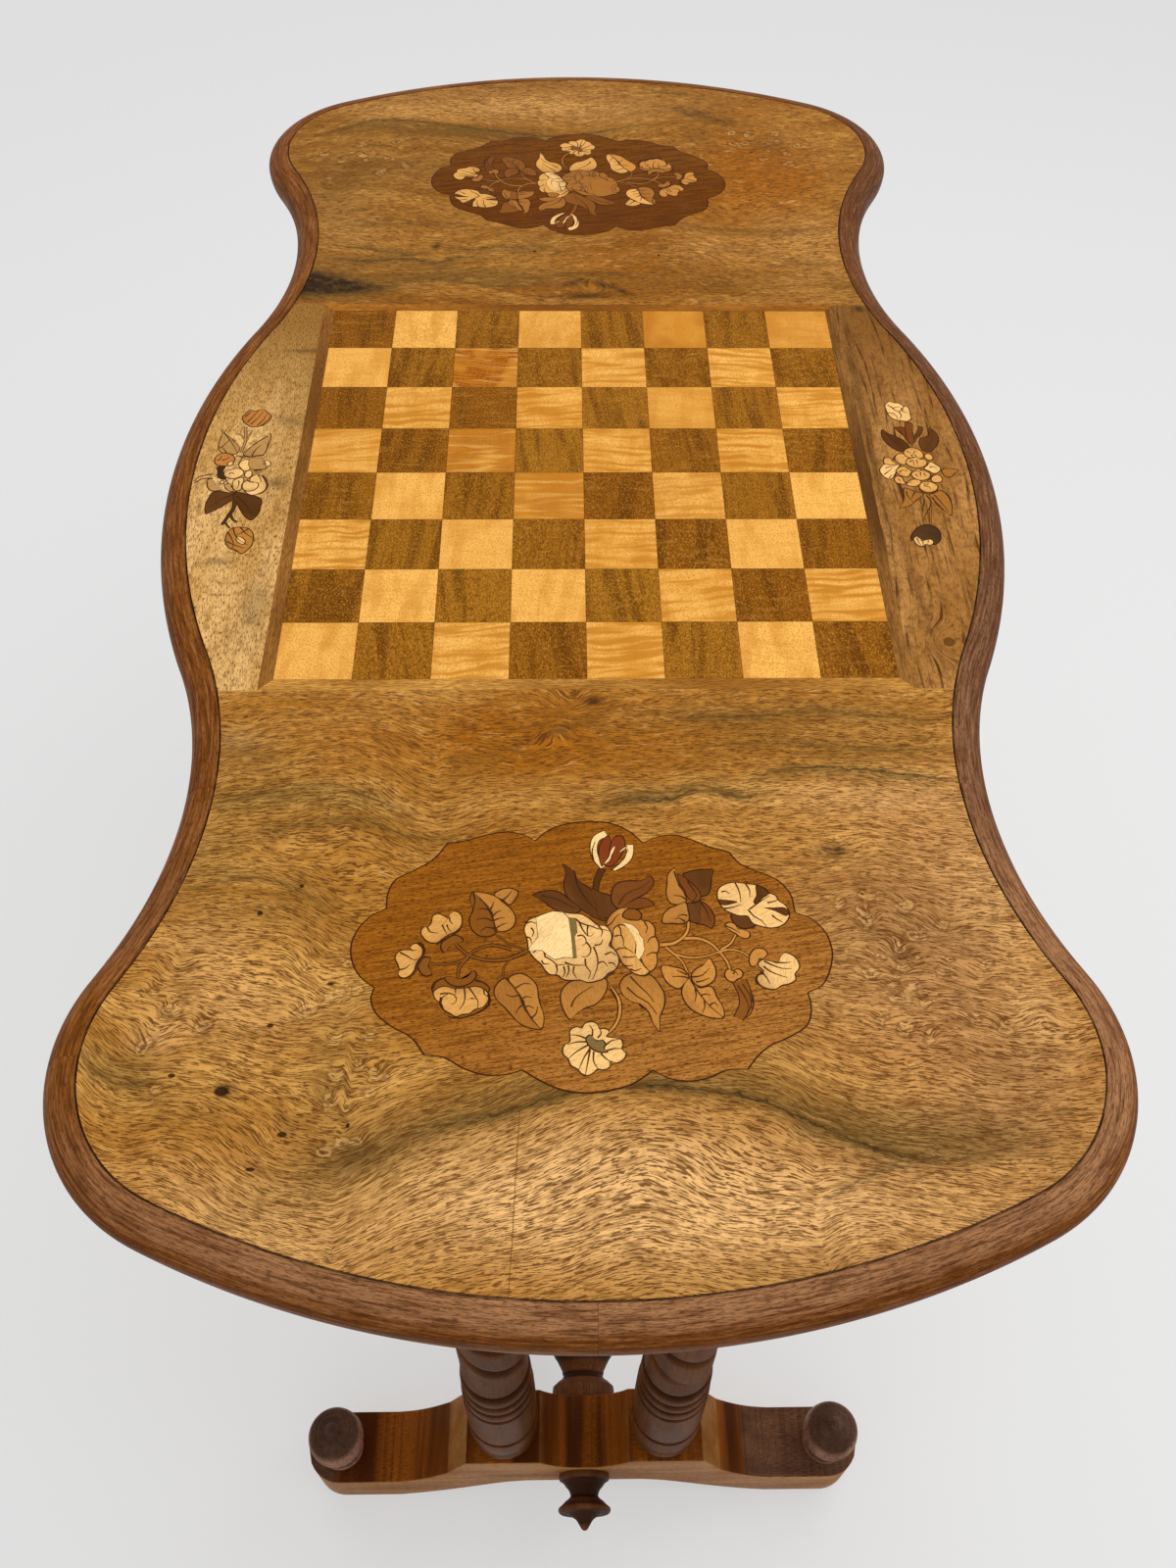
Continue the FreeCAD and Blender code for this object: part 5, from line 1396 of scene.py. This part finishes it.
def square_slabs(name, wanted, seed):
    """The squares of one wood in one mesh: each has a fine rim that carries the dark joint, its
    own place on the strip that it was cut from, and its own tone, ripple and turn."""
    dice = np.random.default_rng(seed)
    inner = square / 2 - joint_width
    line = np.array([-square / 2, -inner, 0.0, inner, square / 2])
    local_x, local_y = np.meshgrid(line, line)
    joint = np.maximum(np.abs(local_x), np.abs(local_y)) > inner + 0.01
    parts = []
    block, rim = slab_faces(5, 5)
    for row in range(8):
        for column in range(8):
            tone, ripple, warmth, turn = dice.uniform(0, 1, 4)
            offset = dice.uniform(-500, 500, 2)
            if (row + column) % 2 != wanted:
                continue
            if wanted == 0:
                tone, warmth = 0.35 + 0.5 * tone, 0.4 * warmth
            if (row, column) in plain_squares:
                tone, ripple, warmth = 0.8 + 0.2 * tone, 0.15, 0.2 * warmth
            if (row, column) in rippled_squares:
                tone, ripple = 0.35 + 0.4 * tone, 0.75 + 0.25 * ripple
                warmth *= 0.3
            if (row, column) in brown_squares:
                tone, warmth = 0.3 * tone, brown_squares[row, column]
            centre_x = -board_half + (column + 0.5) * square
            centre_y = -board_half + (row + 0.5) * square
            angle = math.radians(18 * (turn - 0.5))
            top = np.stack([local_x + centre_x, local_y + centre_y,
                            np.full((5, 5), table_height)], -1).reshape(-1, 3)
            under = top[rim] * [1, 1, 0] + [0, 0, core_top]
            cut_x = local_x * math.cos(angle) + local_y * math.sin(angle) + offset[0]
            cut_y = -local_x * math.sin(angle) + local_y * math.cos(angle) + offset[1]
            cut = np.stack([cut_x, cut_y, np.full((5, 5), 31.0 * turn)], -1).reshape(-1, 3)
            marks = {"strip": np.concatenate([cut, cut[rim]]),
                     "style": np.tile([tone, ripple, warmth], (len(top) + len(rim), 1)),
                     "joint": np.concatenate([joint.ravel(), np.ones(len(rim))])}
            parts.append((np.concatenate([top, under]), block, marks))
    return joined_mesh(name, parts, weld=0.0)


def paint_light_square(tree):
    """Honey coloured veneer: the grain runs along the table and ripples lie across it, brown
    between bright."""
    strip = attribute(tree, "strip", "Vector")
    tone, ripple, warmth = split(attribute(tree, "style", "Vector"))
    grain = grained(swapped(strip, "YXZ"), 1.1, 1.6, width=0.4, share=0.34)
    sway = vectors("MULTIPLY", noise(strip, (24, 12, 20), detail=1.0), (0, 9, 0))
    bands = noise(vectors("ADD", strip, sway), (36, 3.6, 20), detail=1.0, roughness=0.35)
    slow = noise(strip, 26, detail=2.0)
    specks = noise(strip, (0.9, 1.3, 1.0), detail=1.0)
    uneven = noise(strip, (13, 46, 20), detail=2.0)
    stained = times(warmth, ramped(slow, 0.36, 0.6, 0.15, 0.65))
    marks = use(handling, {"Place": object_place(tree)})
    colour = coats(
        blended(tone, (204, 136, 42), (244, 184, 92)),
        (ramped(uneven, 0.42, 0.66, 0.0, 0.5), (196, 126, 34)), (stained, (142, 66, 0)),
        (times(ramped(bands, 0.49, 0.64), times(ripple, 0.85)), (182, 114, 26)),
        (times(ramped(bands, 0.48, 0.32), times(ripple, 0.4)), (250, 198, 108)),
        (ramped(specks, 0.48, 0.64, 0.0, 0.6), (188, 120, 34)),
        (ramped(grain["Lines"], 0.46, 0.72, 0.0, 0.3), (196, 130, 46)),
        (times(grain["Pores"], 0.3), (150, 88, 22)), (times(marks["Specks"], 0.5), (116, 62, 14)),
        (times(attribute(tree, "joint"), 0.85), (70, 38, 10)))
    return colour, ramped(marks["Haze"], 0.3, 0.7, 0.42, 0.54), bands


def paint_dark_square(tree):
    """Brown walnut: dark bands along the table, open pores between pale flecks, and here and
    there a pale ripple."""
    strip = attribute(tree, "strip", "Vector")
    tone, ripple, warmth = split(attribute(tree, "style", "Vector"))
    grain = grained(swapped(strip, "YXZ"), 2.2, 2.0, width=0.6, share=0.44)
    bands = noise(strip, (9, 90, 20), detail=3.0)
    ripples = noise(strip, (18, 3.6, 9), detail=2.0)
    flecks = noise(strip, (0.8, 1.5, 1.0), detail=1.0)
    bright = times(ramped(ripples, 0.52, 0.72, 0.0, 0.4), ripple)
    marks = use(handling, {"Place": object_place(tree)})
    colour = coats(
        blended(tone, (124, 68, 2), (162, 106, 24)),
        (times(warmth, 0.3), (156, 96, 22)), (ramped(bands, 0.46, 0.64, 0.0, 0.65), (86, 44, 0)),
        (bright, (188, 130, 50)), (ramped(flecks, 0.52, 0.7, 0.0, 0.6), (190, 132, 42)),
        (ramped(flecks, 0.48, 0.3, 0.0, 0.6), (84, 42, 0)),
        (ramped(grain["Lines"], 0.48, 0.76, 0.0, 0.4), (88, 48, 6)),
        (times(grain["Pores"], 0.45), (70, 36, 4)),
        (times(attribute(tree, "joint"), 0.85), (40, 22, 6)))
    return colour, ramped(marks["Haze"], 0.3, 0.7, 0.42, 0.54), grain["Lines"]


light_wood = finish("light_square_wood", paint_light_square, depth=0.00005)
dark_wood = finish("dark_square_wood", paint_dark_square, depth=0.00006)
settle(square_slabs("light_squares_laid", 0, 11), light_wood, "square_light", "light_squares")
settle(square_slabs("dark_squares_laid", 1, 12), dark_wood, "square_dark", "dark_squares")

# ---------------------------------------------------------------------------------------------
# Border: four walnut strips mitred round the squares, each from another piece of wood: pale at
# the near side, dark at the left, streaked at the right, brown at the far side.


def paint_border(tree, pale, dark, turned_round):
    """Straight grain along the strip."""
    place = object_place(tree)
    along = swapped(place, "YXZ") if turned_round else place
    grain = grained(along, 1.2, 5.0, width=0.45, share=0.5)
    colour = coats(
        blended(ramped(grain["Tone"], 0.3, 0.7), dark, pale),
        (ramped(grain["Lines"], 0.45, 0.7, 0.0, 0.7), dark),
        (times(grain["Pores"], 0.5), (76, 44, 14)))
    return colour, ramped(grain["Lines"], 0.2, 0.8, 0.4, 0.52), grain["Lines"]


border_colours = {"near": ((224, 164, 78), (150, 94, 30), False),
                  "far": ((176, 110, 34), (124, 70, 12), False),
                  "left": ((168, 112, 50), (112, 68, 22), True),
                  "right": ((154, 104, 46), (84, 50, 16), True)}
for side_name, (pale, dark, along_y) in border_colours.items():
    strip_wood = finish("border_" + side_name + "_wood",
                        lambda tree: paint_border(tree, pale, dark, along_y), depth=0.00006)
    dress("border_" + side_name, strip_wood)

# ---------------------------------------------------------------------------------------------
# Columns: four turned and carved walnut columns with a two-start barley twist between stacked
# rings, pegged into the feet and tenoned into the bearers.
foot_y = 445.0
seat_height = 122.0
column_top = 659.0
column_x = 63.0
twist_lead = 100.0
twist_start = {-1: 225.0, 1: 191.0}
twist_low, twist_high, twist_run_in = 210.0, 448.0, 26.0
shaft_radius = 23.0


def turned_line(rows, step=1.5):
    """Places and radii down a turning: straight or a parabola from each row to the next. A row
    is a place along the axis, a radius there and the rise of the swelling before it."""
    places, radii = [np.array([rows[0][0]])], [np.array([rows[0][1]])]
    for (place_a, radius_a, _), (place_b, radius_b, rise) in zip(rows, rows[1:]):
        length = math.hypot(place_b - place_a, radius_b - radius_a)
        count = max(1, int(math.ceil(length / step))) if rise else 1
        share = np.arange(1, count + 1) / count
        swell_out = 4 * share * (1 - share) * rise / max(length, 1e-9)
        places.append(place_a + share * (place_b - place_a) - swell_out * (radius_b - radius_a))
        radii.append(radius_a + share * (radius_b - radius_a) + swell_out * (place_b - place_a))
    return np.concatenate(places), np.concatenate(radii)


def column_rows():
    """Rows of the turning below and above the twist, from the seat upwards."""
    top = column_top - seat_height
    foot = [(0, 24.4, 0), (18, 25.2, 0.9), (20, 23.2, 0), (24, 23.2, 0), (26, 26.6, 0),
            (54, 26.9, 0.4), (56, 24.4, 0), (58, 24.4, 0), (60, 26.4, 0), (126, 26.2, 0.3),
            (129, 23.8, 0), (131, 23.8, 0), (133, 25.9, 0), (143, 25.5, 0.4), (145, 23.4, 0),
            (147, 23.4, 0), (149, 25.0, 0), (159, 24.8, 0.5), (162, 22.0, 0), (164, 22.2, 0),
            (166, 24.4, 0), (178, 24.2, 0.6), (181, 21.4, 0), (185, 21.6, 0), (194, 23.2, 0.8),
            (214, 23.0, 0)]
    head = [(top - 93, 21.5, 0), (top - 87, 21.5, 0), (top - 80, 24.6, -1.0), (top - 64, 24.6, 0),
            (top - 63, 23.5, 0), (top - 41, 23.6, 1.6), (top - 40, 22.5, 0), (top - 39, 24.6, 0),
            (top - 18, 24.6, 1.6), (top - 17, 27.1, 0), (top, 27.1, 0)]
    return foot, head


def shallow(places, radii):
    """How deep each place lies below the tops within four millimetres of it, from 0 to 1."""
    near = np.abs(places[:, None] - places[None, :]) < 4.0
    tops = np.where(near, radii[None, :], 0).max(1)
    return np.clip((tops - radii) / 2.5, 0, 1)


def twisted(places, radii, ease, start, depth, power, around):
    """Angles, and radius and groove over place and angle: the radius dips by a power of the
    cosine of twice the angle, which turns once in a lead."""
    angle = np.linspace(0, 2 * math.pi, around, endpoint=False)
    turn = -2 * math.pi * (places - start)[:, None] / twist_lead
    hollow = ease[:, None] * ((1 + np.cos(2 * (angle - turn))) / 2) ** power
    # The groove mark also sets where painted shade and dirt darken the turning.
    groove = np.maximum(shallow(places, radii)[:, None], 0.9 * hollow)
    return angle, radii[:, None] - depth * hollow, groove


def column_mesh(name, x, y, start):
    """Column: the turning from the seat upwards, with narrow grooves that wind round its shaft."""
    foot, head = column_rows()
    foot_z, foot_r = turned_line(foot)
    head_z, head_r = turned_line(head)
    shaft_z = np.arange(foot_z[-1] + 2, head_z[0] - 1, 2.0)
    places = np.concatenate([foot_z, shaft_z, head_z])
    radii = np.concatenate([foot_r, np.full(len(shaft_z), shaft_radius), head_r])
    ease = np.clip(np.minimum(places - twist_low, twist_high - places) / twist_run_in, 0, 1)
    angle, radius, groove = twisted(places, radii, ease, start, depth=3.6, power=9, around=72)
    ring = np.stack([x + radius * np.cos(angle), y + radius * np.sin(angle),
                     np.broadcast_to(seat_height + places[:, None], radius.shape)], -1)
    return tube_mesh(name, ring, {"groove": groove}, sharp=35.0)


def paint_turned(tree, order, ground_low, ground_high):
    """Walnut with the grain along the turning, in the colours given: darker in the grooves with dirt
    and painted shade, rubbed paler on the tops, with old polish."""
    along = swapped(object_place(tree), order)
    grain = grained(along, 2.0, 5.0, width=0.5, share=0.42)
    groove = attribute(tree, "groove")
    marks = use(handling, {"Place": along})
    rubbed = times(ramped(groove, 0.0, 0.25, 0.45, 0.0), ramped(marks["Haze"], 0.35, 0.65))
    colour = coats(
        blended(ramped(grain["Tone"], 0.3, 0.7), ground_low, ground_high),
        (rubbed, (122, 76, 36)), (ramped(grain["Lines"], 0.46, 0.72, 0.0, 0.6), (62, 32, 14)),
        (times(grain["Pores"], 0.5), (44, 24, 12)),
        # Painted shade, with dirt, darkens the grooves and the hollows of the twist.
        (ramped(groove, 0.15, 0.9, 0.0, 0.75), (36, 19, 10)))
    rough = ramped(marks["Haze"], 0.3, 0.7, 0.36, 0.52)
    return colour, rough, minus(grain["Lines"], grain["Pores"])


# The columns' colours are set darker than the wood itself to stand in for the shade under the top:
# painted shade.
upright_walnut = finish("turned_walnut", lambda tree: paint_turned(
    tree, "ZXY", (72, 34, 4), (102, 56, 16)), depth=0.00014)
for end_name, end in (("near", -1), ("far", 1)):
    for side_name, side in (("left", -1), ("right", 1)):
        corner_name = "column_" + end_name + "_" + side_name
        piece = column_mesh(corner_name + "_turned", side * column_x, end * foot_y,
                            twist_start[side])
        settle(piece, upright_walnut, "walnut_turned", corner_name)

# ---------------------------------------------------------------------------------------------
# Feet: a thick walnut plank at each end, sawn to a scooped seat with sloping shoulders, long
# arms with round ends and an arch below. Its edges are worn round.
arm_half = 228.0
foot_thickness = 54.0
scoop_half, scoop_depth = 35.5, 21.0
seat_outer, facet_end, facet_drop = 93.0, 110.0, 36.0
arm_start, arm_height = 155.0, 54.0
arch_flat, arch_height = 47.0, 52.0


def foot_heights(x):
    """Top and underside of the plank at a place across the table."""
    reach = np.abs(x)
    scoop_radius = (scoop_half**2 + scoop_depth**2) / (2 * scoop_depth)
    scoop = seat_height - scoop_depth + scoop_radius - np.sqrt(
        np.maximum(scoop_radius**2 - np.minimum(reach, scoop_half) ** 2, 0))
    sweep_x = facet_end + (arm_start - facet_end) * np.array([0, 0.18, 0.36, 0.71, 1.0])
    sweep_fall = seat_height - facet_drop - arm_height
    sweep_z = arm_height + sweep_fall * np.array([1.0, 0.72, 0.47, 0.13, 0.0])
    top = np.where(reach < scoop_half, scoop, seat_height)
    facet = seat_height - (reach - seat_outer) * facet_drop / (facet_end - seat_outer)
    top = np.where(reach > seat_outer, facet, top)
    sweep = through(sweep_x, sweep_z, np.clip(reach, facet_end, arm_start))
    top = np.where(reach > facet_end, sweep, top)
    top = np.where(reach > arm_start, arm_height, top)
    arch_x = arch_flat + (arm_start - arch_flat) * np.array([0, 0.17, 0.33, 0.53, 0.68, 0.86, 1.0])
    arch = through(arch_x, arch_height * np.array([1.0, 0.89, 0.70, 0.44, 0.27, 0.10, 0.0]),
                   np.clip(reach, arch_flat, arm_start))
    low = np.where(reach < arch_flat, arch_height, np.maximum(arch, 0))
    return top, np.where(reach > arm_start, 0.0, low)


def foot_mesh(name, end):
    """Plank as sections across its length: each is a rectangle with rounded corners, between the
    two heights, and as wide as the plan, whose ends are half circles."""
    half = foot_thickness / 2
    tip = arm_half - half * np.cos(np.linspace(0, math.pi / 2, 16))
    line = np.concatenate([
        np.linspace(0, scoop_half - 0.1, 19), [scoop_half],
        np.linspace(scoop_half + 1.5, seat_outer - 1, 12), [seat_outer],
        np.linspace(seat_outer + 2, facet_end - 1, 6), [facet_end],
        np.linspace(facet_end + 2, arm_start, 20),
        np.linspace(arm_start + 5, arm_half - half - 1, 9), tip])
    line = np.unique(np.round(line, 3))
    x = np.concatenate([-line[:0:-1], line])
    top, low = foot_heights(x)
    wide = np.where(np.abs(x) > arm_half - half,
                    np.sqrt(np.maximum(half**2 - (np.abs(x) - arm_half + half) ** 2, 1e-4)), half)
    worn = np.minimum(1.6, 0.45 * wide)
    corner = np.linspace(0, math.pi / 2, 5)
    sections = []
    for sign_y, sign_z, sweep in ((1, 1, corner), (-1, 1, corner[::-1]), (-1, -1, corner),
                                  (1, -1, corner[::-1])):
        edge_y = sign_y * ((wide - worn)[:, None] + worn[:, None] * np.cos(sweep))
        height = top if sign_z > 0 else low
        edge_z = height[:, None] - sign_z * worn[:, None] * (1 - np.sin(sweep))
        sections.append(np.stack([edge_y, edge_z], -1))
    edge_y, edge_z = np.moveaxis(np.concatenate(sections, 1), -1, 0)
    points = np.stack([np.broadcast_to(x[:, None], edge_y.shape), end * foot_y + edge_y, edge_z], -1)
    return tube_mesh(name, points, {"groove": np.zeros(points.shape[:2])}, sharp=42.0)


def paint_foot(tree):
    """Walnut plank: long grain and a paler brown on its upright faces; its upper side cuts the
    growth lines, which lie across it in dark stripes, orange near the columns and purple brown
    on the right arm, and its colours are set darker with painted shade from the top above."""
    place = object_place(tree)
    grain = grained(place, 2.4, 6.0, width=0.5, share=0.44)
    marks = use(handling, {"Place": place})
    across, _, _ = split(place)
    side = plus(across, times(grain["Lines"], 4.0))
    broad = noise(place, (16, 300, 300), detail=2.0)
    purple = blended(ramped(grain["Tone"], 0.3, 0.7), (84, 54, 38), (116, 78, 54))
    stripes = noise(place, (2.6, 200, 200), detail=3.0, roughness=0.6)
    striped = noise(place, (34, 300, 300), detail=1.0)
    amount = times(ramped(stripes, 0.44, 0.62), ramped(striped, 0.42, 0.58, 0.05, 0.45))
    # The upper side's colours are set darker to stand in for the shade under the top: painted shade.
    ground = coats(
        blended(ramped(broad, 0.36, 0.66), (76, 32, 2), (146, 78, 16)),
        (ramped(side, 131.0, 135.0), purple), (ramped(side, -196.0, -206.0), purple),
        (amount, (62, 30, 12)))
    facing = node(tree, "NewGeometry", output="Normal")
    _, _, upward = split(facing)
    colour = coats(
        blended(ramped(grain["Tone"], 0.3, 0.7), (156, 98, 42), (194, 138, 76)),
        (ramped(grain["Lines"], 0.46, 0.72, 0.0, 0.6), (112, 66, 28)),
        (ramped(upward, 0.2, 0.7), ground), (times(grain["Pores"], 0.5), (48, 26, 12)))
    rough = ramped(marks["Haze"], 0.3, 0.7, 0.38, 0.52)
    return colour, rough, minus(grain["Lines"], grain["Pores"])


foot_walnut = finish("foot_walnut", paint_foot, depth=0.00016, specular=0.045)
for end_name, end in (("near", -1), ("far", 1)):
    settle(foot_mesh("foot_" + end_name + "_plank", end), foot_walnut, "walnut_turned",
           "foot_" + end_name)

# ---------------------------------------------------------------------------------------------
# Knobs: a turned walnut knob stands on the end of each arm, with a hollow neck, a broad ring, a
# dome and a small nipple. Its pin is glued into the arm.


def lathe_mesh(name, rows, start, axis):
    """Turning round an axis: radius over place, with both ends closed on the axis. The axis is
    z for an upright turning and y, or minus y, for one that lies."""
    places, radii = turned_line(rows, 1.0)
    angle = np.linspace(0, 2 * math.pi, 64, endpoint=False)
    across = radii[:, None] * np.cos(angle)
    up = radii[:, None] * np.sin(angle)
    along = np.broadcast_to(places[:, None], across.shape)
    if axis == "z":
        points = np.stack([across, up, along], -1)
    else:
        points = np.stack([across, along * (-1 if axis == "-y" else 1), up], -1)
    groove = np.broadcast_to(shallow(places, radii)[:, None], across.shape)
    return tube_mesh(name, points + np.array(start), {"groove": groove}, sharp=35.0)


knob_x = 201.0
knob_radius = 21.7
knob_rows = [(0, 0.80 * knob_radius, 0), (5, 0.80 * knob_radius, 1.0), (6, 0.68 * knob_radius, 0),
             (14, 0.54 * knob_radius, -1.4), (23, 0.74 * knob_radius, -1.8),
             (24, 0.82 * knob_radius, 0), (33, knob_radius, 1.4), (40, 0.98 * knob_radius, 0.5),
             (52, 0.70 * knob_radius, 1.9), (52.8, 0.62 * knob_radius, 0),
             (57, 0.46 * knob_radius, 0.7), (57.8, 0.38 * knob_radius, 0),
             (62, 0.24 * knob_radius, -0.5), (68, 0.01, 0.4)]
knob_walnut = finish("knob_walnut", lambda tree: paint_turned(
    tree, "ZXY", (128, 88, 68), (170, 124, 100)), depth=0.00014, specular=0.045)
for end_name, end in (("near", -1), ("far", 1)):
    for side_name, side in (("left", -1), ("right", 1)):
        corner_name = "knob_" + end_name + "_" + side_name
        piece = lathe_mesh(corner_name + "_turned", knob_rows,
                           (side * knob_x, end * foot_y, arm_height), "z")
        settle(piece, knob_walnut, "walnut_turned", corner_name)

# ---------------------------------------------------------------------------------------------
# Stretcher: a turned rail between the feet, with a collar and vase at each end, two lengths of
# the same twist and a ringed barrel in the middle. Its pins are glued into the feet.
stretcher_half = foot_y - foot_thickness / 2
stretcher_height = 75.0
stretcher_radius = 21.3
twist_outer, twist_inner = 58.0, stretcher_half - 38


def stretcher_mesh(name):
    """Rail as radius over place and angle: the turning of one half and its mirror, with the
    columns' twist between vase and barrel."""
    collar, body = 25.3, 26.0
    outer = [(0, collar, 0), (12, collar, 0.5), (16, 0.83 * collar, 0), (21, 0.65 * collar, -0.8),
             (25, 0.69 * collar, 0.4), (29, 0.77 * collar, 0), (34, 0.87 * collar, 0),
             (42, body, 0.6), (48, body, 0.6), (56, 0.84 * body, 0), (62, 0.84 * body, 0)]
    half = stretcher_half
    inner = [(half - 42, 0.84 * body, 0), (half - 34, 0.84 * body, 0), (half - 33, body, 0),
             (half - 24, body, 1.2), (half - 22, 0.9 * body, 0), (half - 11, 0.9 * body + 3.7, 1.0),
             (half, 0.9 * body + 5.0, 0.3)]
    outer_y, outer_r = turned_line(outer)
    inner_y, inner_r = turned_line(inner)
    shaft_y = np.arange(outer_y[-1] + 2, inner_y[0] - 1, 2.0)
    places = np.concatenate([outer_y, shaft_y, inner_y])
    radii = np.concatenate([outer_r, np.full(len(shaft_y), stretcher_radius), inner_r])
    ease = np.clip(np.minimum(places - twist_outer, twist_inner - places) / twist_run_in, 0, 1)
    places = np.concatenate([places, 2 * half - places[-2::-1]]) - half
    radii = np.concatenate([radii, radii[-2::-1]])
    ease = np.concatenate([ease, ease[-2::-1]])
    angle, radius, groove = twisted(places, radii, ease, twist_outer - half, depth=3.9,
                                    power=1.6, around=64)
    ring = np.stack([radius * np.cos(angle), np.broadcast_to(places[:, None], radius.shape),
                     stretcher_height + radius * np.sin(angle)], -1)
    return tube_mesh(name, ring, {"groove": groove}, sharp=35.0)


# The stretcher's and the finials' colours are also set darker with painted shade from the top.
lying_walnut = finish("lying_turned_walnut", lambda tree: paint_turned(
    tree, "YXZ", (82, 46, 26), (112, 68, 44)), depth=0.00014, specular=0.045)
settle(stretcher_mesh("stretcher_turned"), lying_walnut, "walnut_turned", "stretcher")

# ---------------------------------------------------------------------------------------------
# Finials: a small turned pendant lies on the outside of each foot, in line with the stretcher,
# with a collar, a waist, a sharp ring and a point.
finial_collar, finial_ring = 20.0, 21.0
finial_rows = [(0, finial_collar, 0), (4.5, finial_collar, 0.4), (9, 0.75 * finial_collar, -0.6),
               (13, 0.59 * finial_collar, -0.3), (16, 0.55 * finial_collar, 0),
               (19.5, 0.71 * finial_ring, -0.3), (23.5, 0.91 * finial_ring, 0),
               (26, finial_ring, 0.5), (28.5, 0.92 * finial_ring, 0.4),
               (31, 0.46 * finial_ring, -1.4), (35, 0.25 * finial_ring, -0.5),
               (39, 0.13 * finial_ring, 0), (40.5, 0.01, 0.4)]
for end_name, end, axis in (("near", -1, "-y"), ("far", 1, "y")):
    piece = lathe_mesh("finial_" + end_name + "_turned", finial_rows,
                       (0, end * (foot_y + foot_thickness / 2), stretcher_height), axis)
    settle(piece, lying_walnut, "walnut_turned", "finial_" + end_name)

# ---------------------------------------------------------------------------------------------
# Studio: a pale seamless floor and backdrop, a broad soft lamp overhead and even light all
# round. The floor keeps the table's soft shadow.


def seen_directly(tree):
    """One for rays from the eye, also by way of a mirror or a glass, and nought for light."""
    kinds = tree.nodes.new("ShaderNodeLightPath").outputs
    reflected = maths("MAXIMUM", kinds["Is Glossy Ray"], kinds["Is Transmission Ray"])
    return maths("MAXIMUM", kinds["Is Camera Ray"], reflected)


backdrop_colour = srgb(234, 234, 234)
shadow_share = 0.45
floor_paper = bpy.data.materials.new("paper_floor")
floor_paper.use_nodes = True
paper = floor_paper.node_tree
lit = paper.nodes["Principled BSDF"]
fed(lit, {"Base Color": backdrop_colour, "Roughness": 0.9, "Specular IOR Level": 0.0})
plain = node(paper, "Emission", {"Color": backdrop_colour, "Strength": 1.0})
share = times(seen_directly(paper), 1 - shadow_share)
mixed = node(paper, "MixShader", {0: share, 1: lit.outputs[0], 2: plain})
fed(paper.nodes["Material Output"], {"Surface": mixed})

floor_half = 8
corners = [(x * floor_half, y * floor_half, 0) for x, y in ((-1, -1), (1, -1), (1, 1), (-1, 1))]
floor_mesh = bpy.data.meshes.new("floor")
floor_mesh.from_pydata(corners, [], [(0, 1, 2, 3)])
floor = bpy.data.objects.new("floor", floor_mesh)
floor.data.materials.append(floor_paper)
bpy.context.scene.collection.objects.link(floor)

world = bpy.data.worlds.new("studio")
bpy.context.scene.world = world
world.use_nodes = True
sky = world.node_tree
even_light = sky.nodes["Background"]
fed(even_light, {"Color": (1.0, 1.0, 1.0, 1.0), "Strength": 0.66})
shown_sky = node(sky, "Background", {"Color": backdrop_colour, "Strength": 1.0})
mixed = node(sky, "MixShader", {0: seen_directly(sky), 1: even_light.outputs[0], 2: shown_sky})
fed(sky.nodes["World Output"], {"Surface": mixed})

lamp_data = bpy.data.lights.new("soft_lamp", "AREA")
lamp_data.shape = "RECTANGLE"
lamp_data.size, lamp_data.size_y = 2.4, 2.0
lamp_data.energy = 28.0
lamp = bpy.data.objects.new("soft_lamp", lamp_data)
lamp.location = (0.6, 0.1, 2.4)
lamp.rotation_euler = (math.radians(-3), math.radians(19), 0)
bpy.context.scene.collection.objects.link(lamp)

bpy.context.scene.view_settings.view_transform = "Standard"
